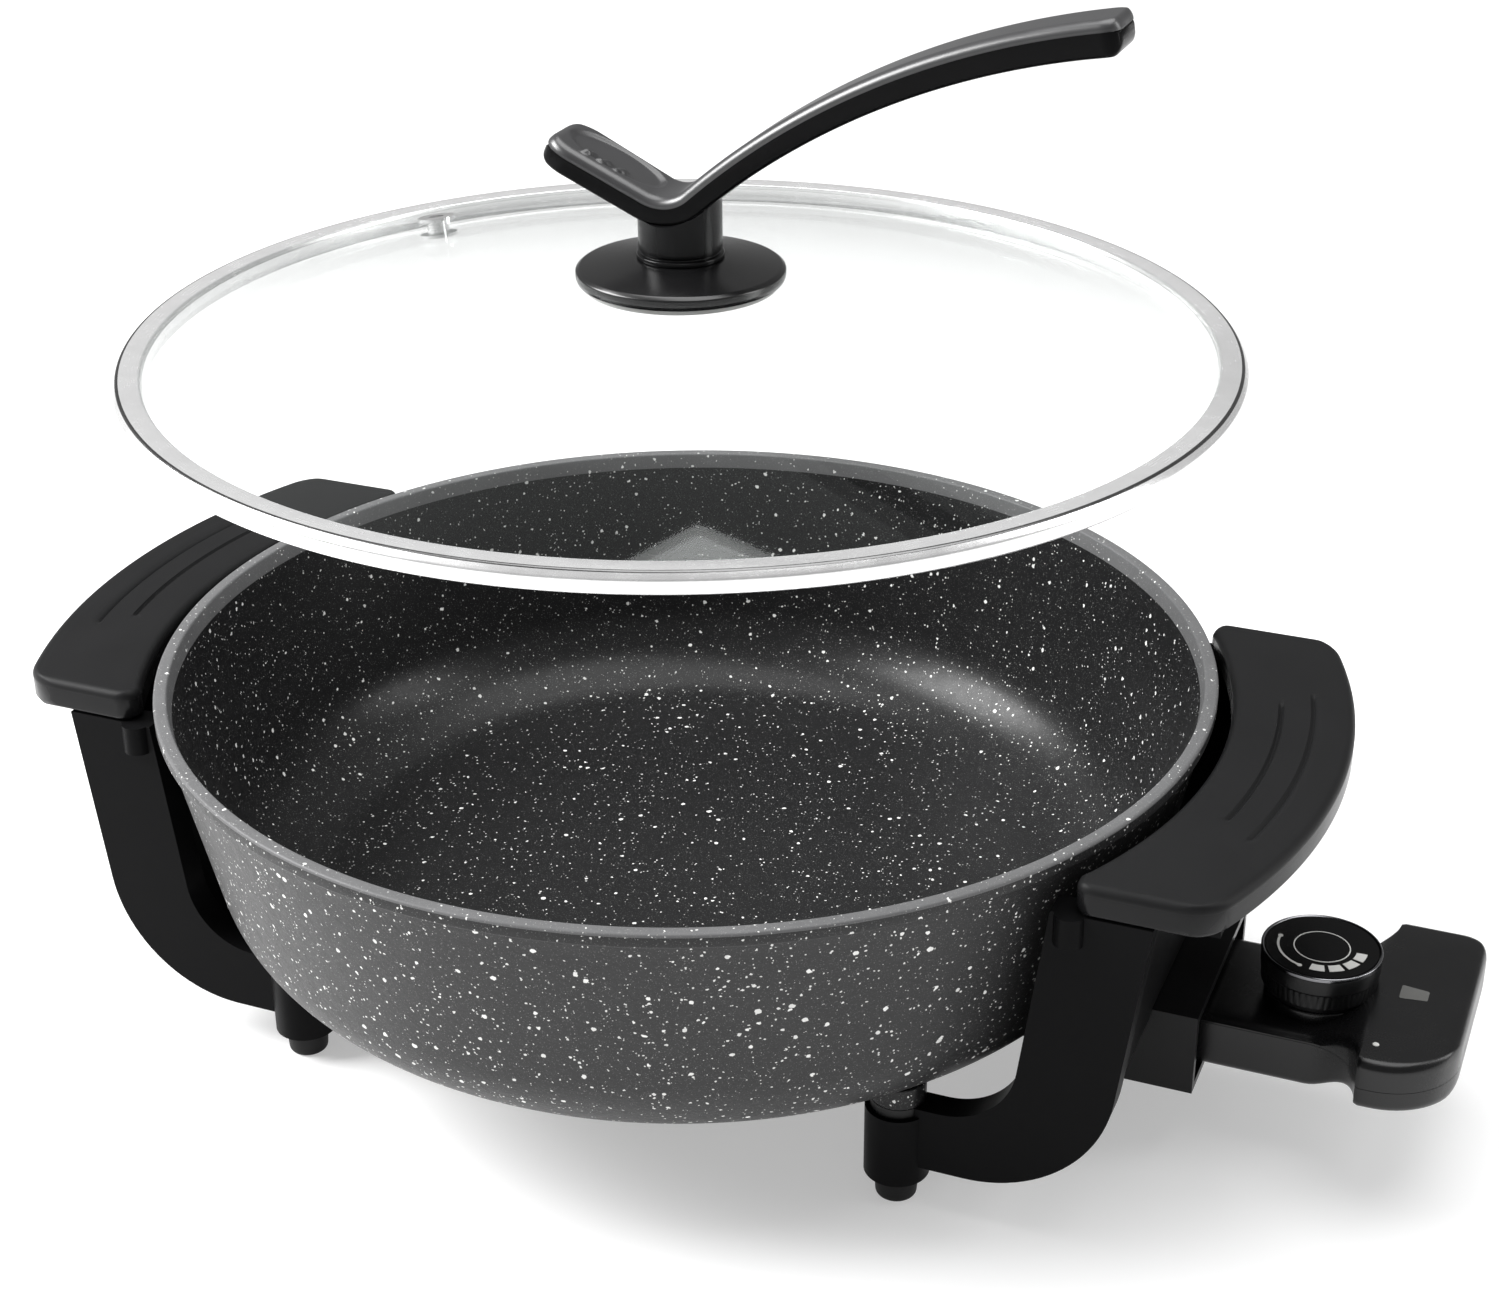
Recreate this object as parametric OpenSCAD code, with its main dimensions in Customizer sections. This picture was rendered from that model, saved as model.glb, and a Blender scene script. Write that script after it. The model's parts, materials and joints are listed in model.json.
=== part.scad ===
// Round electric skillet with a domed glass lid and a plug-in thermostat probe.
// The pan's axis is x = 0 inside the modules; place() then moves each piece so that the origin
// is on the table, under the middle of the whole appliance. +Z is up, +X points to the probe.

/* [Pan] */
// Outer radius of the rim
rim_r = 160; // [133:1:192]
// Height of the pan from its base to its rim
pan_h = 86; // [74:1:104]
// Height of the base above the table
stand_h = 34; // [32:1:40]
// Lean of the side wall from upright, in degrees
wall_draft = 12.4; // [8:0.2:14]
// Outer radius of the curve between wall and base
corner_r = 37; // [30:1:42]
// Thickness of the wall at the rim
rim_t = 4; // [3:0.5:5]
// Thickness of the floor
floor_t = 7; // [6.5:0.5:9]
// Inner radius of the curve between wall and floor
inner_corner_r = 31; // [24:1:35]
// Height of the collar round the rim
collar_h = 4.5; // [3:0.5:8]
// Step from the collar to the wall
collar_step = 0.8; // [0.4:0.2:1.6]

/* [Element and terminals] */
// Radius of the heating element's tube
tube_r = 3.5; // [3:0.1:4]
// Distance from the edge of the flat base in to the element ring
ring_inset = 23; // [15:1:35]
// Radius of the bends that lead the element out to its terminals
elbow_r = 8; // [6:1:12]
// Height of the middle of the element, pins and sensor above the base
terminal_up = 0.5; // [0:0.1:1]
// Distance between the two pins
pin_pitch = 26; // [24:1:30]
// Radius of a terminal pin
pin_r = 2.4; // [2:0.1:2.6]
// Length of pin standing out of the lug
pin_out = 19; // [14:1:20]
// Width of the cast lug that carries the terminals
lug_w = 64; // [60:1:64]
// Length of the lug
lug_len = 50; // [45:1:55]
// Thickness of the lug below the base
lug_drop = 5.5; // [4.5:0.5:7]

/* [Probe socket] */
// Width of the socket housing
socket_w = 66; // [65:1:72]
// Distance from the pins down to the housing's underside
socket_below = 12; // [11:0.5:14]
// Height of the housing
socket_h = 26; // [25:0.5:30]
// Depth of the housing
socket_depth = 25; // [20:1:28]
// Wall of the housing
socket_t = 2.5; // [2:0.25:2.5]
// Space between the pan's side and the back of the housing
socket_gap = 6.1; // [3:0.1:8]

/* [Grips] */
// Gap between the rim and a grip
grip_gap = 4.5; // [3:0.5:8]
// Width of a grip
grip_w = 35.5; // [30:0.5:42]
// Half of the length of a grip
grip_half = 84; // [76:1:92]
// Thickness of a grip
grip_t = 9.5; // [8:0.5:12]
// Drop of the grips below the rim
grip_drop = 3; // [2:0.5:8]
// Radius of a grip's outer corners
grip_corner = 14; // [8:1:18]
// Radius of a grip's inner corners
grip_inner_corner = 5; // [3:0.5:7]
// Width of a groove in a grip
groove_w = 1.4; // [1:0.1:2]
// Depth of a groove
groove_d = 1; // [0.5:0.1:1.5]

/* [Leg frames] */
// Outer radius of a leg's bend
bend_r = 42; // [38:1:44]
// Height of the bend's underside above the table
bend_clear = 14; // [12:1:18]
// Lean of a leg from upright, in degrees
leg_lean = 7.2; // [5:0.2:9]
// Thickness of a leg plate
leg_t = 9; // [7:0.5:10]
// Distance from a leg's outer side at mid height in to the rim's radius
leg_in = 0; // [-1:0.5:2]
// Thickness of the web between the legs
web_t = 3; // [2:0.5:4]
// Step from a plate's edge to the web
web_step = 1.5; // [1:0.5:3]
// Gap between the pan and a leg plate
leg_gap = 1.7; // [1.5:0.1:3]

/* [Feet] */
// Distance from the rim's radius in to a foot, along X
foot_in = 63; // [56:1:68]
// Radius of a foot post
post_r = 9.5; // [9:0.5:11]
// Height of a foot post above the table
post_z = 8.5; // [7:0.5:10]
// Radius of a rubber foot
foot_r = 6.5; // [6:0.5:8]
// Radius of the spacer between post and pan
spacer_r = 8; // [7:0.5:9]
// Thickness of that spacer
spacer_t = 3; // [2:0.5:4]

/* [Lid] */
// Height at which the lid is held above the rim
lid_lift = 94; // [60:1:140]
// Distance from the rim's radius out to the lid's edge
lid_over = 1; // [0:0.5:2]
// Height of the lid's steel band
band_z = 6.2; // [5.5:0.1:8]
// Width of the band
band_w = 8.5; // [7:0.5:11]
// Thickness of the glass
glass_t = 4; // [3:0.25:4.25]
// Rise of the glass from its edge to its top
dome_rise = 18; // [12:1:40]
// Distance of the vent from the axis
vent_at = 125; // [90:1:130]
// Direction of the vent from +X, in degrees
vent_angle = 152; // [0:1:359]
// Radius of the vent's hole in the glass
vent_r = 3.5; // [3:0.25:4.5]

/* [Lid handle] */
// Radius of the flange
flange_r = 30; // [28:0.5:38]
// Thickness of the flange's edge
flange_t = 3.6; // [3:0.2:5]
// Radius of the stem
stem_r = 12; // [11:0.1:15]
// Height of the V's lowest middle point above the flange
stem_h = 18; // [14:0.5:26]
// Thickness of the handle
handle_t = 8; // [5:0.2:8]
// Thickness of its upper layer
cap_t = 3; // [1.5:0.1:3]
// Width of the handle at the V
handle_w = 21; // [18:0.5:24]
// Width of the handle at the end of the long arm
handle_end_w = 20; // [16:0.5:32]
// Rise of the short arm, in degrees
short_rise = 25; // [15:1:35]
// Length of the short arm
short_len = 33; // [25:1:42]
// Slope of the long arm where it leaves the V, in degrees
long_rise = 42; // [35:1:48]
// Slope of the long arm at its end, in degrees
long_end_rise = 9; // [0:1:20]
// Radius of the long arm's curve
long_r = 230; // [190:5:260]
// Radius of the V's curve
vee_r = 14; // [10:1:18]

/* [Probe] */
// Width of the neck
neck_w = 46; // [44:1:48]
// Length of the neck
neck_len = 67; // [62:1:75]
// Height of the neck
neck_h = 17; // [16.5:0.5:18]
// Width of the head
head_w = 78; // [66:1:90]
// Length of the head
head_len = 26; // [22:1:32]
// Height of the head
head_h = 16; // [15:0.5:18]
// Height of the head's underside above the neck's
head_up = 8; // [6:0.5:9]
// Radius of the head's outer corners
head_corner = 12; // [6:0.5:12.5]
// Radius of the curves between neck and head
flare_r = 12; // [8:1:15]
// Wall of the shells
shell_t = 2; // [1.6:0.1:2.4]
// Radius of the sensor rod
rod_r = 3.1; // [2.5:0.1:3.2]
// Length of rod in front of the neck
rod_out = 42; // [34:1:44]

// Travel of the probe out of its socket
pull = 60; // [45:1:80]

/* [Dial] */
// Radius of the dial
dial_r = 17.4; // [15:0.2:19]
// Height of the dial
dial_h = 13; // [10:0.5:16]
// Number of ribs round the skirt
rib_count = 48; // [24:1:60]
// Depth of a rib
rib_d = 0.5; // [0.3:0.1:0.8]
// Width of the bright ring
ring_w = 1.1; // [0.8:0.1:2]
// Radius of the spindle
spindle_r = 3; // [2.5:0.1:3.5]

/* [Fits] */
// Space between pieces of different bodies
slide_gap = 0.3; // [0.2:0.05:0.5]
// Space between pieces fixed together
seat_gap = 0.05; // [0.02:0.01:0.1]
// Space round the dial's spindle, which turns in its hole
spindle_gap = 0.08; // [0.02:0.01:0.1]
// Space between the dial's side and the head
dial_gap = 0.6; // [0.4:0.1:1.5]

/* [Hidden] */
$fn = 96;
fine = 48;
dome_fn = 1440;
arc_fn = 360;

rim_z = stand_h + pan_h;
terminal_z = stand_h + terminal_up;
socket_z = terminal_z - socket_below;
outer_top_r = rim_r - collar_step;
base_flat_r = bend_x(outer_top_r, pan_h, corner_r);
ring_r = base_flat_r - ring_inset;
lug_x = pan_r(socket_z + socket_h) + socket_gap;
lug_z = stand_h - lug_drop;
socket_x = lug_x + socket_depth;
pin_y = pin_pitch / 2;
screw_y = lug_w / 2 - 5;
bead_r = pin_r + 1.8;

grip_in_r = rim_r + grip_gap;
grip_out_r = grip_in_r + grip_w;
grip_z = rim_z - grip_drop - grip_t;
plate_y = grip_half - leg_t;
bend_z = bend_clear + bend_r;
bend_cx = rim_r - leg_in - bend_r;
inner_r = bend_r - (stand_h - bend_clear);
inner_top_x = sqrt(pow(pan_r(grip_z), 2) - pow(plate_y, 2)) + leg_gap;
inner_cx = inner_top_x - (grip_z - bend_z) * tan(leg_lean) - inner_r / cos(leg_lean);
foot_x = rim_r - foot_in;
foot_y = grip_half - 5;
boss_z = stand_h;
post_top = stand_h - spacer_t;
ear_w = 20;
ear_x = plate_outer_x(grip_z) + ear_w / 2 - 4;
ear_t = 3;
ear_len = 20;
ear_y = plate_y - ear_len / 2;
peg_r = 4.3;
peg_h = 9;
screw_r = 2;
bolt_r = 2.5;
bolt_head_r = 4.5;
bolt_head_h = 3;

lid_z = rim_z + lid_lift;
lid_r = rim_r + lid_over;
glass_r = lid_r - 3;
glass_edge_z = lid_z + 5;
glass_top_z = glass_edge_z + dome_rise;
dome_r = (pow(glass_r, 2) + pow(dome_rise, 2)) / (2 * dome_rise);
dome_z = glass_top_z - dome_r;
gasket_t = 1.2;
gasket_r = flange_r - 2;
flange_z = glass_top_z + gasket_t;
flange_top_z = flange_z + flange_t + 3;
vee_z = flange_z + flange_t + stem_h + vee_r;
vee_x = -2;
long_x0 = vee_x + vee_r * sin(long_rise);
long_z0 = vee_z - vee_r * cos(long_rise);
long_cx = long_x0 + long_r * sin(long_rise);
long_cz = long_z0 - long_r * cos(long_rise);
long_end_x = long_cx - long_r * sin(long_end_rise);
short_x0 = vee_x - vee_r * sin(short_rise);
short_z0 = vee_z - vee_r * cos(short_rise);
short_end_x = short_x0 - short_len * cos(short_rise);
half_t = handle_t / 2;
washer_t = 1.5;
washer_r = 9;
washer_z = dome_z + sqrt(pow(dome_r - glass_t, 2) - pow(washer_r, 2)) - washer_t - seat_gap;

neck_x = lug_x + socket_t + 1.5;
neck_z = terminal_z - neck_h / 2;
head_x = neck_x + neck_len;
head_end_x = head_x + head_len;
head_z = neck_z + head_up;
part_z = head_z + head_h / 2 - 1;
dial_x = head_x - dial_gap - dial_r;
seat_z = neck_z + neck_h + 3.5;
dial_z = seat_z + slide_gap;
dial_top_z = dial_z + dial_h;
carrier_x = neck_x + 18;
carrier_len = 9;
lens_x = head_x + 9.5;
gland_x = head_x + head_len / 2;
gland_z = head_z + head_h / 2;
gland_bore_r = 3.5;
gland_r = 5.5;
gland_len = 7;
post_places = [[head_x + 12, 27], [head_x + 12, -27]];

// Radius at which the flat base ends, for a wall that starts at radius r, h above the base
function bend_x(r, h, c) = r - (h - c) * tan(wall_draft) - c / cos(wall_draft);
// Outer radius of the pan at height z
function pan_r(z) = let(c = stand_h + corner_r) z < c - corner_r * sin(wall_draft)
    ? base_flat_r + sqrt(pow(corner_r, 2) - pow(c - z, 2))
    : outer_top_r - (rim_z - z) * tan(wall_draft);

// Half section of a bowl: wall that leans out to radius r at z_top, curve c, flat bottom at z_low
module bowl_section(r, z_top, z_low, c) {
    h = z_top - z_low;
    cx = bend_x(r, h, c);
    cz = z_low + c;
    polygon([[0, z_low], [cx, z_low], [cx, cz], [cx + c * cos(wall_draft), cz - c * sin(wall_draft)],
        [r, z_top], [0, z_top]]);
    translate([cx, cz]) circle(c);
}

// Rectangle with rounded corners
module round_rect(x0, x1, y0, y1, r) {
    translate([x0 + r, y0]) square([x1 - x0 - 2 * r, y1 - y0]);
    translate([x0, y0 + r]) square([x1 - x0, y1 - y0 - 2 * r]);
    for (x = [x0 + r, x1 - r], y = [y0 + r, y1 - r]) translate([x, y]) circle(r, $fn = fine);
}

// Puts the origin under the middle of the whole appliance
module place() {
    translate([(grip_out_r - head_end_x) / 2, 0, 0]) children();
}

// Cylinder along +X
module rod_x(x0, x1, y, z, r) {
    translate([x0, y, z]) rotate([0, 90, 0]) cylinder(h = x1 - x0, r = r, $fn = fine);
}

// Screw along +Z with a domed head below
module screw(r, head_r, head_h, length) {
    cylinder(h = length, r = r, $fn = fine);
    translate([0, 0, -head_h]) cylinder(h = head_h, r = head_r, $fn = fine);
}

// Both pins' places
module at_pins() {
    for (side = [-1, 1]) translate([0, side * pin_y, 0]) children();
}

// The four foot places
module at_feet() {
    for (sx = [-1, 1], sy = [-1, 1]) translate([sx * foot_x, sy * foot_y, 0]) children();
}

// The element's tube: a ring, two bends that are a little thicker and lap over their neighbours, two straight ends
module element_path(r) {
    gap = asin((pin_y + elbow_r) / (ring_r + elbow_r));
    elbow_x = (ring_r + elbow_r) * cos(gap);
    lap = 4;
    translate([0, 0, terminal_z]) {
        rotate([0, 0, gap]) rotate_extrude(angle = 360 - 2 * gap) translate([ring_r, 0]) circle(r, $fn = fine);
        for (side = [-1, 1]) translate([elbow_x, side * (pin_y + elbow_r), 0])
            rotate([0, 0, (side > 0 ? 180 + gap : 90) - lap])
                rotate_extrude(angle = 90 - gap + 2 * lap) translate([elbow_r, 0]) circle(r + 0.1, $fn = fine);
    }
    at_pins() rod_x(elbow_x, lug_x, 0, terminal_z, r);
}

module pan() {
    place() color([0.36, 0.36, 0.37]) difference() {
        union() {
            rotate_extrude() {
                bowl_section(outer_top_r, rim_z, stand_h, corner_r);
                translate([rim_r - rim_t, rim_z - collar_h]) square([rim_t, collar_h]);
            }
            translate([lug_x - lug_len, -lug_w / 2, lug_z]) cube([lug_len, lug_w, lug_drop + floor_t]);
            at_feet() translate([0, 0, boss_z]) cylinder(h = corner_r / 3, r = spacer_r, $fn = fine);
        }
        rotate_extrude() {
            bowl_section(rim_r - rim_t, rim_z, stand_h + floor_t, inner_corner_r);
            translate([0, rim_z - 0.01]) square([rim_r - rim_t, 2]);
        }
        element_path(tube_r + seat_gap);
        rod_x(lug_x - rod_out, lug_x + 1, 0, terminal_z, rod_r + slide_gap);
        for (side = [-1, 1]) rod_x(lug_x - 12, lug_x + 1, side * screw_y, terminal_z, screw_r + seat_gap);
        at_feet() translate([0, 0, boss_z - 1]) cylinder(h = 5, r = bolt_r + seat_gap, $fn = fine);
    }
}

module heating_element() {
    place() color([0.55, 0.5, 0.45]) difference() {
        element_path(tube_r);
        at_pins() rod_x(lug_x - 8, lug_x + 1, 0, terminal_z, pin_r + seat_gap);
    }
}

module terminal_pins() {
    place() color([0.78, 0.76, 0.7]) at_pins() {
        rod_x(lug_x - 8, lug_x + pin_out - 1, 0, terminal_z, pin_r);
        translate([lug_x + pin_out - 1, 0, terminal_z]) sphere(pin_r, $fn = fine);
    }
}

module terminal_insulators() {
    place() color([0.93, 0.92, 0.88]) at_pins() difference() {
        rod_x(lug_x, lug_x + socket_t + 1, 0, terminal_z, bead_r);
        rod_x(lug_x - 1, lug_x + socket_t + 2, 0, terminal_z, pin_r + seat_gap);
    }
}

module socket_housing() {
    inner_w = socket_w - 2 * socket_t;
    place() color([0.06, 0.06, 0.06]) difference() {
        translate([lug_x, -socket_w / 2, socket_z]) cube([socket_depth, socket_w, socket_h]);
        translate([lug_x + socket_t, -inner_w / 2, socket_z + socket_t])
            cube([socket_depth, inner_w, socket_h - 2 * socket_t]);
        at_pins() rod_x(lug_x - 1, lug_x + socket_t + 1, 0, terminal_z, bead_r + seat_gap);
        rod_x(lug_x - 1, lug_x + socket_t + 1, 0, terminal_z, rod_r + slide_gap);
        for (side = [-1, 1]) rod_x(lug_x - 1, lug_x + socket_t + 1, side * screw_y, terminal_z, screw_r + seat_gap);
    }
}

module socket_screws() {
    place() color([0.7, 0.7, 0.7]) for (side = [-1, 1]) {
        rod_x(lug_x - 10, lug_x + socket_t + 2, side * screw_y, terminal_z, screw_r);
        rod_x(lug_x + socket_t, lug_x + socket_t + 2, side * screw_y, terminal_z, screw_r + 1);
    }
}

// Plan of the right grip: a ring sector with straight ends and rounded corners
module grip_plan() {
    out_x = sqrt(pow(grip_out_r - grip_corner, 2) - pow(grip_half - grip_corner, 2));
    in_x = sqrt(pow(grip_in_r + grip_inner_corner, 2) - pow(grip_half - grip_inner_corner, 2));
    big = 2 * grip_out_r;
    tangent_y = (grip_half - grip_corner) * grip_out_r / (grip_out_r - grip_corner);
    difference() {
        intersection() {
            circle(grip_out_r);
            union() {
                translate([0, -tangent_y]) square([big, 2 * tangent_y]);
                translate([0, -grip_half]) square([out_x, 2 * grip_half]);
                for (side = [-1, 1]) translate([out_x, side * (grip_half - grip_corner)]) circle(grip_corner, $fn = fine);
            }
        }
        difference() {
            union() {
                circle(grip_in_r);
                for (side = [-1, 1]) translate([0, side * (grip_half - grip_inner_corner / 2)])
                    square([2 * in_x, grip_inner_corner + 0.02], center = true);
            }
            for (side = [-1, 1]) translate([in_x, side * (grip_half - grip_inner_corner)])
                circle(grip_inner_corner, $fn = fine);
        }
    }
}

// Groove along the grip: at radius r, between the angles -a and a
module groove(r, a) {
    rotate([0, 0, -a]) rotate_extrude(angle = 2 * a) translate([r - groove_w / 2, grip_z + grip_t - groove_d])
        square([groove_w, groove_d + 1]);
}

module grip() {
    difference() {
        translate([0, 0, grip_z]) linear_extrude(grip_t) grip_plan();
        groove(grip_out_r - 12, 14);
        groove(grip_out_r - 21.5, 12);
        for (side = [-1, 1]) translate([ear_x, side * ear_y, grip_z - 1])
            cylinder(h = grip_t - 2, r = screw_r + seat_gap, $fn = fine);
    }
}

// Outer edge of a leg plate at height z, above its bend
function plate_outer_x(z) = bend_cx + bend_r / cos(leg_lean) + (z - bend_z) * tan(leg_lean);

module left_grip() {
    place() color([0.07, 0.07, 0.07]) mirror([1, 0, 0]) grip();
}

module right_grip() {
    place() color([0.07, 0.07, 0.07]) grip();
}

// Side view of the leg's outline, taken in by d, from the table side up to the grip
module leg_outline(d) {
    r = bend_r - d;
    x1 = bend_cx + r * cos(leg_lean);
    z1 = bend_z - r * sin(leg_lean);
    translate([bend_cx, bend_z]) circle(r);
    polygon([[0, bend_z - r], [bend_cx, bend_z - r], [bend_cx, bend_z], [x1, z1],
        [plate_outer_x(grip_z) - d / cos(leg_lean), grip_z], [0, grip_z]]);
}

// Side view of the space that a leg plate leaves round the pan
module leg_hollow() {
    x1 = inner_cx + inner_r * cos(leg_lean);
    z1 = bend_z - inner_r * sin(leg_lean);
    translate([inner_cx, bend_z]) circle(inner_r);
    polygon([[-1, bend_z - inner_r], [inner_cx, bend_z - inner_r], [inner_cx, bend_z], [x1, z1],
        [inner_top_x, grip_z], [inner_top_x, grip_z + 1], [-1, grip_z + 1]]);
}

module upright(y0, y1) {
    translate([0, y1, 0]) rotate([90, 0, 0]) linear_extrude(y1 - y0) children();
}

module leg_frame() {
    difference() {
        union() {
            for (y = [-grip_half, plate_y]) upright(y, y + leg_t) difference() {
                leg_outline(0);
                leg_hollow();
                translate([0, 0]) square([foot_x, rim_z]);
            }
            upright(-plate_y - 1, plate_y + 1) difference() {
                leg_outline(web_step);
                leg_outline(web_step + web_t);
                square([bend_cx + 2, rim_z]);
            }
            for (side = [-1, 1]) {
                translate([foot_x, side * foot_y, post_z])
                    cylinder(h = post_top - post_z, r = post_r, $fn = fine);
                translate([ear_x - ear_w / 2, side * ear_y - ear_len / 2 - 1, grip_z - ear_t])
                    cube([ear_w, ear_len + 2, ear_t]);
                translate([inner_top_x + peg_r + 1, side * (grip_half - 1), grip_z - peg_h])
                    cylinder(h = peg_h, r = peg_r, $fn = fine);
            }
        }
        for (side = [-1, 1]) {
            translate([foot_x, side * foot_y, 0]) {
                cylinder(h = rim_z, r = bolt_r + seat_gap, $fn = fine);
                cylinder(h = post_z + 9, r = bolt_head_r + 0.5, $fn = fine);
                translate([0, 0, post_top]) cylinder(h = 2 * spacer_t, r = spacer_r + seat_gap, $fn = fine);
            }
            translate([ear_x, side * ear_y, grip_z - ear_t - 1])
                cylinder(h = ear_t + 2, r = screw_r + seat_gap, $fn = fine);
        }
    }
}

module left_leg_frame() {
    place() color([0.09, 0.09, 0.09]) mirror([1, 0, 0]) leg_frame();
}

module right_leg_frame() {
    place() color([0.09, 0.09, 0.09]) difference() {
        leg_frame();
        translate([foot_x, -socket_w / 2 - 1.5, socket_z - 1.5]) cube([rim_r, socket_w + 3, socket_h + 3]);
    }
}

module grip_screws() {
    place() color([0.7, 0.7, 0.7]) for (sx = [-1, 1], sy = [-1, 1])
        translate([sx * ear_x, sy * ear_y, grip_z - ear_t]) screw(screw_r, screw_r + 1.8, 2, grip_t);
}

module leg_screws() {
    place() color([0.7, 0.7, 0.7]) at_feet() translate([0, 0, post_z + 9])
        screw(bolt_r, bolt_head_r, bolt_head_h, boss_z + 3.5 - post_z - 9);
}

module leg_spacers() {
    place() color([0.5, 0.5, 0.5]) at_feet() translate([0, 0, post_top]) difference() {
        cylinder(h = spacer_t, r = spacer_r, $fn = fine);
        translate([0, 0, -1]) cylinder(h = spacer_t + 2, r = bolt_r + seat_gap, $fn = fine);
    }
}

module foot(sx, sy) {
    place() color([0.04, 0.04, 0.04]) translate([sx * foot_x, sy * foot_y, 0]) {
        cylinder(h = 1, r1 = foot_r - 1, r2 = foot_r, $fn = fine);
        translate([0, 0, 1]) cylinder(h = post_z - 1, r = foot_r, $fn = fine);
        cylinder(h = post_z + 5, r = bolt_head_r, $fn = fine);
    }
}

module foot_front_left() { foot(-1, -1); }
module foot_front_right() { foot(1, -1); }
module foot_rear_left() { foot(-1, 1); }
module foot_rear_right() { foot(1, 1); }

// Half section of the domed glass, grown by g on each face
module dome_section(g) {
    intersection() {
        difference() {
            translate([0, dome_z]) circle(dome_r + g, $fn = dome_fn);
            translate([0, dome_z]) circle(dome_r - glass_t - g, $fn = dome_fn);
        }
        translate([0, lid_z - 5]) square([glass_r + g, dome_rise + 40]);
    }
}

function dome_top(r) = dome_z + sqrt(pow(dome_r, 2) - pow(r, 2));

// The vent's place: +Z stands square to the glass and z = 0 is the glass's upper face
module at_vent() {
    rotate([0, 0, vent_angle]) translate([0, 0, dome_z]) rotate([0, asin(vent_at / dome_r), 0])
        translate([0, 0, dome_r]) children();
}

module lid_glass() {
    place() color([0.85, 0.92, 0.92, 0.35]) difference() {
        rotate_extrude($fn = 180) dome_section(0);
        translate([0, 0, lid_z]) cylinder(h = dome_rise + 40, r = bolt_r + 1, $fn = fine);
        at_vent() translate([0, 0, -2 * glass_t]) cylinder(h = 3 * glass_t, r = vent_r, $fn = fine);
    }
}

module lid_rim() {
    place() color([0.75, 0.75, 0.76]) rotate_extrude($fn = 180) difference() {
        translate([lid_r - band_w, lid_z]) square([band_w, band_z]);
        dome_section(seat_gap);
    }
}

module vent_grommet() {
    lip = 1;
    lip_r = vent_r + 2.5;
    lift = seat_gap + pow(lip_r, 2) / dome_r;
    place() color([0.8, 0.8, 0.8]) at_vent() difference() {
        union() {
            translate([0, 0, lift]) cylinder(h = lip, r = lip_r, $fn = fine);
            translate([0, 0, -glass_t - lift - lip / 2]) cylinder(h = glass_t + 2 * lift + lip, r = vent_r - seat_gap, $fn = fine);
            translate([0, 0, -glass_t - lift - lip]) cylinder(h = lip, r = lip_r, $fn = fine);
        }
        translate([0, 0, -2 * glass_t]) cylinder(h = 3 * glass_t, r = vent_r - 1.2, $fn = fine);
    }
}

module flange_gasket() {
    in_r = bolt_r + 1;
    lift = seat_gap + pow(gasket_r - in_r, 2) / (8 * dome_r);
    place() color([0.8, 0.8, 0.78]) rotate_extrude() polygon([[in_r, dome_top(in_r) + lift],
        [gasket_r, dome_top(gasket_r) + lift], [gasket_r, flange_z], [in_r, flange_z]]);
}

module handle_flange() {
    place() color([0.05, 0.05, 0.05]) rotate_extrude() difference() {
        polygon([[0, flange_z], [flange_r - 0.6, flange_z], [flange_r, flange_z + 0.6],
            [flange_r, flange_z + flange_t - 0.8], [flange_r - 0.8, flange_z + flange_t],
            [flange_r * 0.72, flange_z + flange_t + 1.6], [stem_r + 1, flange_top_z], [0, flange_top_z]]);
        translate([0, flange_z - 1]) square([bolt_r + seat_gap, flange_t + 9]);
    }
}

// Ring sector in the handle's side view, between the angles a0 and a1
module arc_band(cx, cz, r0, r1, a0, a1) {
    reach = 2 * r1;
    translate([cx, cz]) intersection() {
        difference() {
            circle(r1, $fn = arc_fn);
            circle(r0, $fn = arc_fn);
        }
        polygon([[0, 0], [reach * cos(a0), reach * sin(a0)], [reach * cos((a0 + a1) / 2), reach * sin((a0 + a1) / 2)],
            [reach * cos(a1), reach * sin(a1)]]);
    }
}

// Side view of the handle's layer that lies between u0 and u1 above its middle line
module vee_layer(u0, u1) {
    arc_band(long_cx, long_cz, long_r + u0, long_r + u1, 90 + long_end_rise, 90 + long_rise);
    lap = 0.2;
    arc_band(vee_x, vee_z, vee_r - u1, vee_r - u0, 270 - short_rise - 4 * lap, 270 + long_rise + 4 * lap);
    translate([short_x0, short_z0]) rotate([0, 0, 180 - short_rise]) translate([-lap, -u1]) square([short_len + lap, u1 - u0]);
}

// Plan of the handle: narrow at the V and wider towards both ends
module handle_plan() {
    a = short_end_x - 3;
    b = long_end_x + 3;
    w = handle_w / 2;
    e = handle_end_w / 2;
    s = (handle_w + 3) / 2;
    cut = 6;
    polygon([[a, cut - s], [a + cut, -s], [vee_x, -w], [b - cut, -e], [b, cut - e],
        [b, e - cut], [b - cut, e], [vee_x, w], [a + cut, s], [a, s - cut]]);
}

module handle_layer(u0, u1) {
    reach = handle_end_w;
    intersection() {
        upright(-reach, reach) vee_layer(u0, u1);
        translate([0, 0, flange_z]) linear_extrude(long_r) handle_plan();
    }
}

// Side view of everything above the handle's underside, as wide as the stem
module above_handle() {
    r = vee_r + half_t;
    reach = 3 * stem_r;
    short_out = [vee_x - r * sin(short_rise), vee_z - r * cos(short_rise)];
    long_out = [vee_x + r * sin(long_rise), vee_z - r * cos(long_rise)];
    slope = long_rise - 2;
    translate([vee_x, vee_z]) circle(r);
    polygon([[vee_x, vee_z], short_out, short_out + reach * [-cos(short_rise), sin(short_rise)],
        [vee_x - reach, vee_z + reach], [vee_x + reach, vee_z + reach], long_out + reach * [cos(slope), sin(slope)], long_out]);
}

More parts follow.
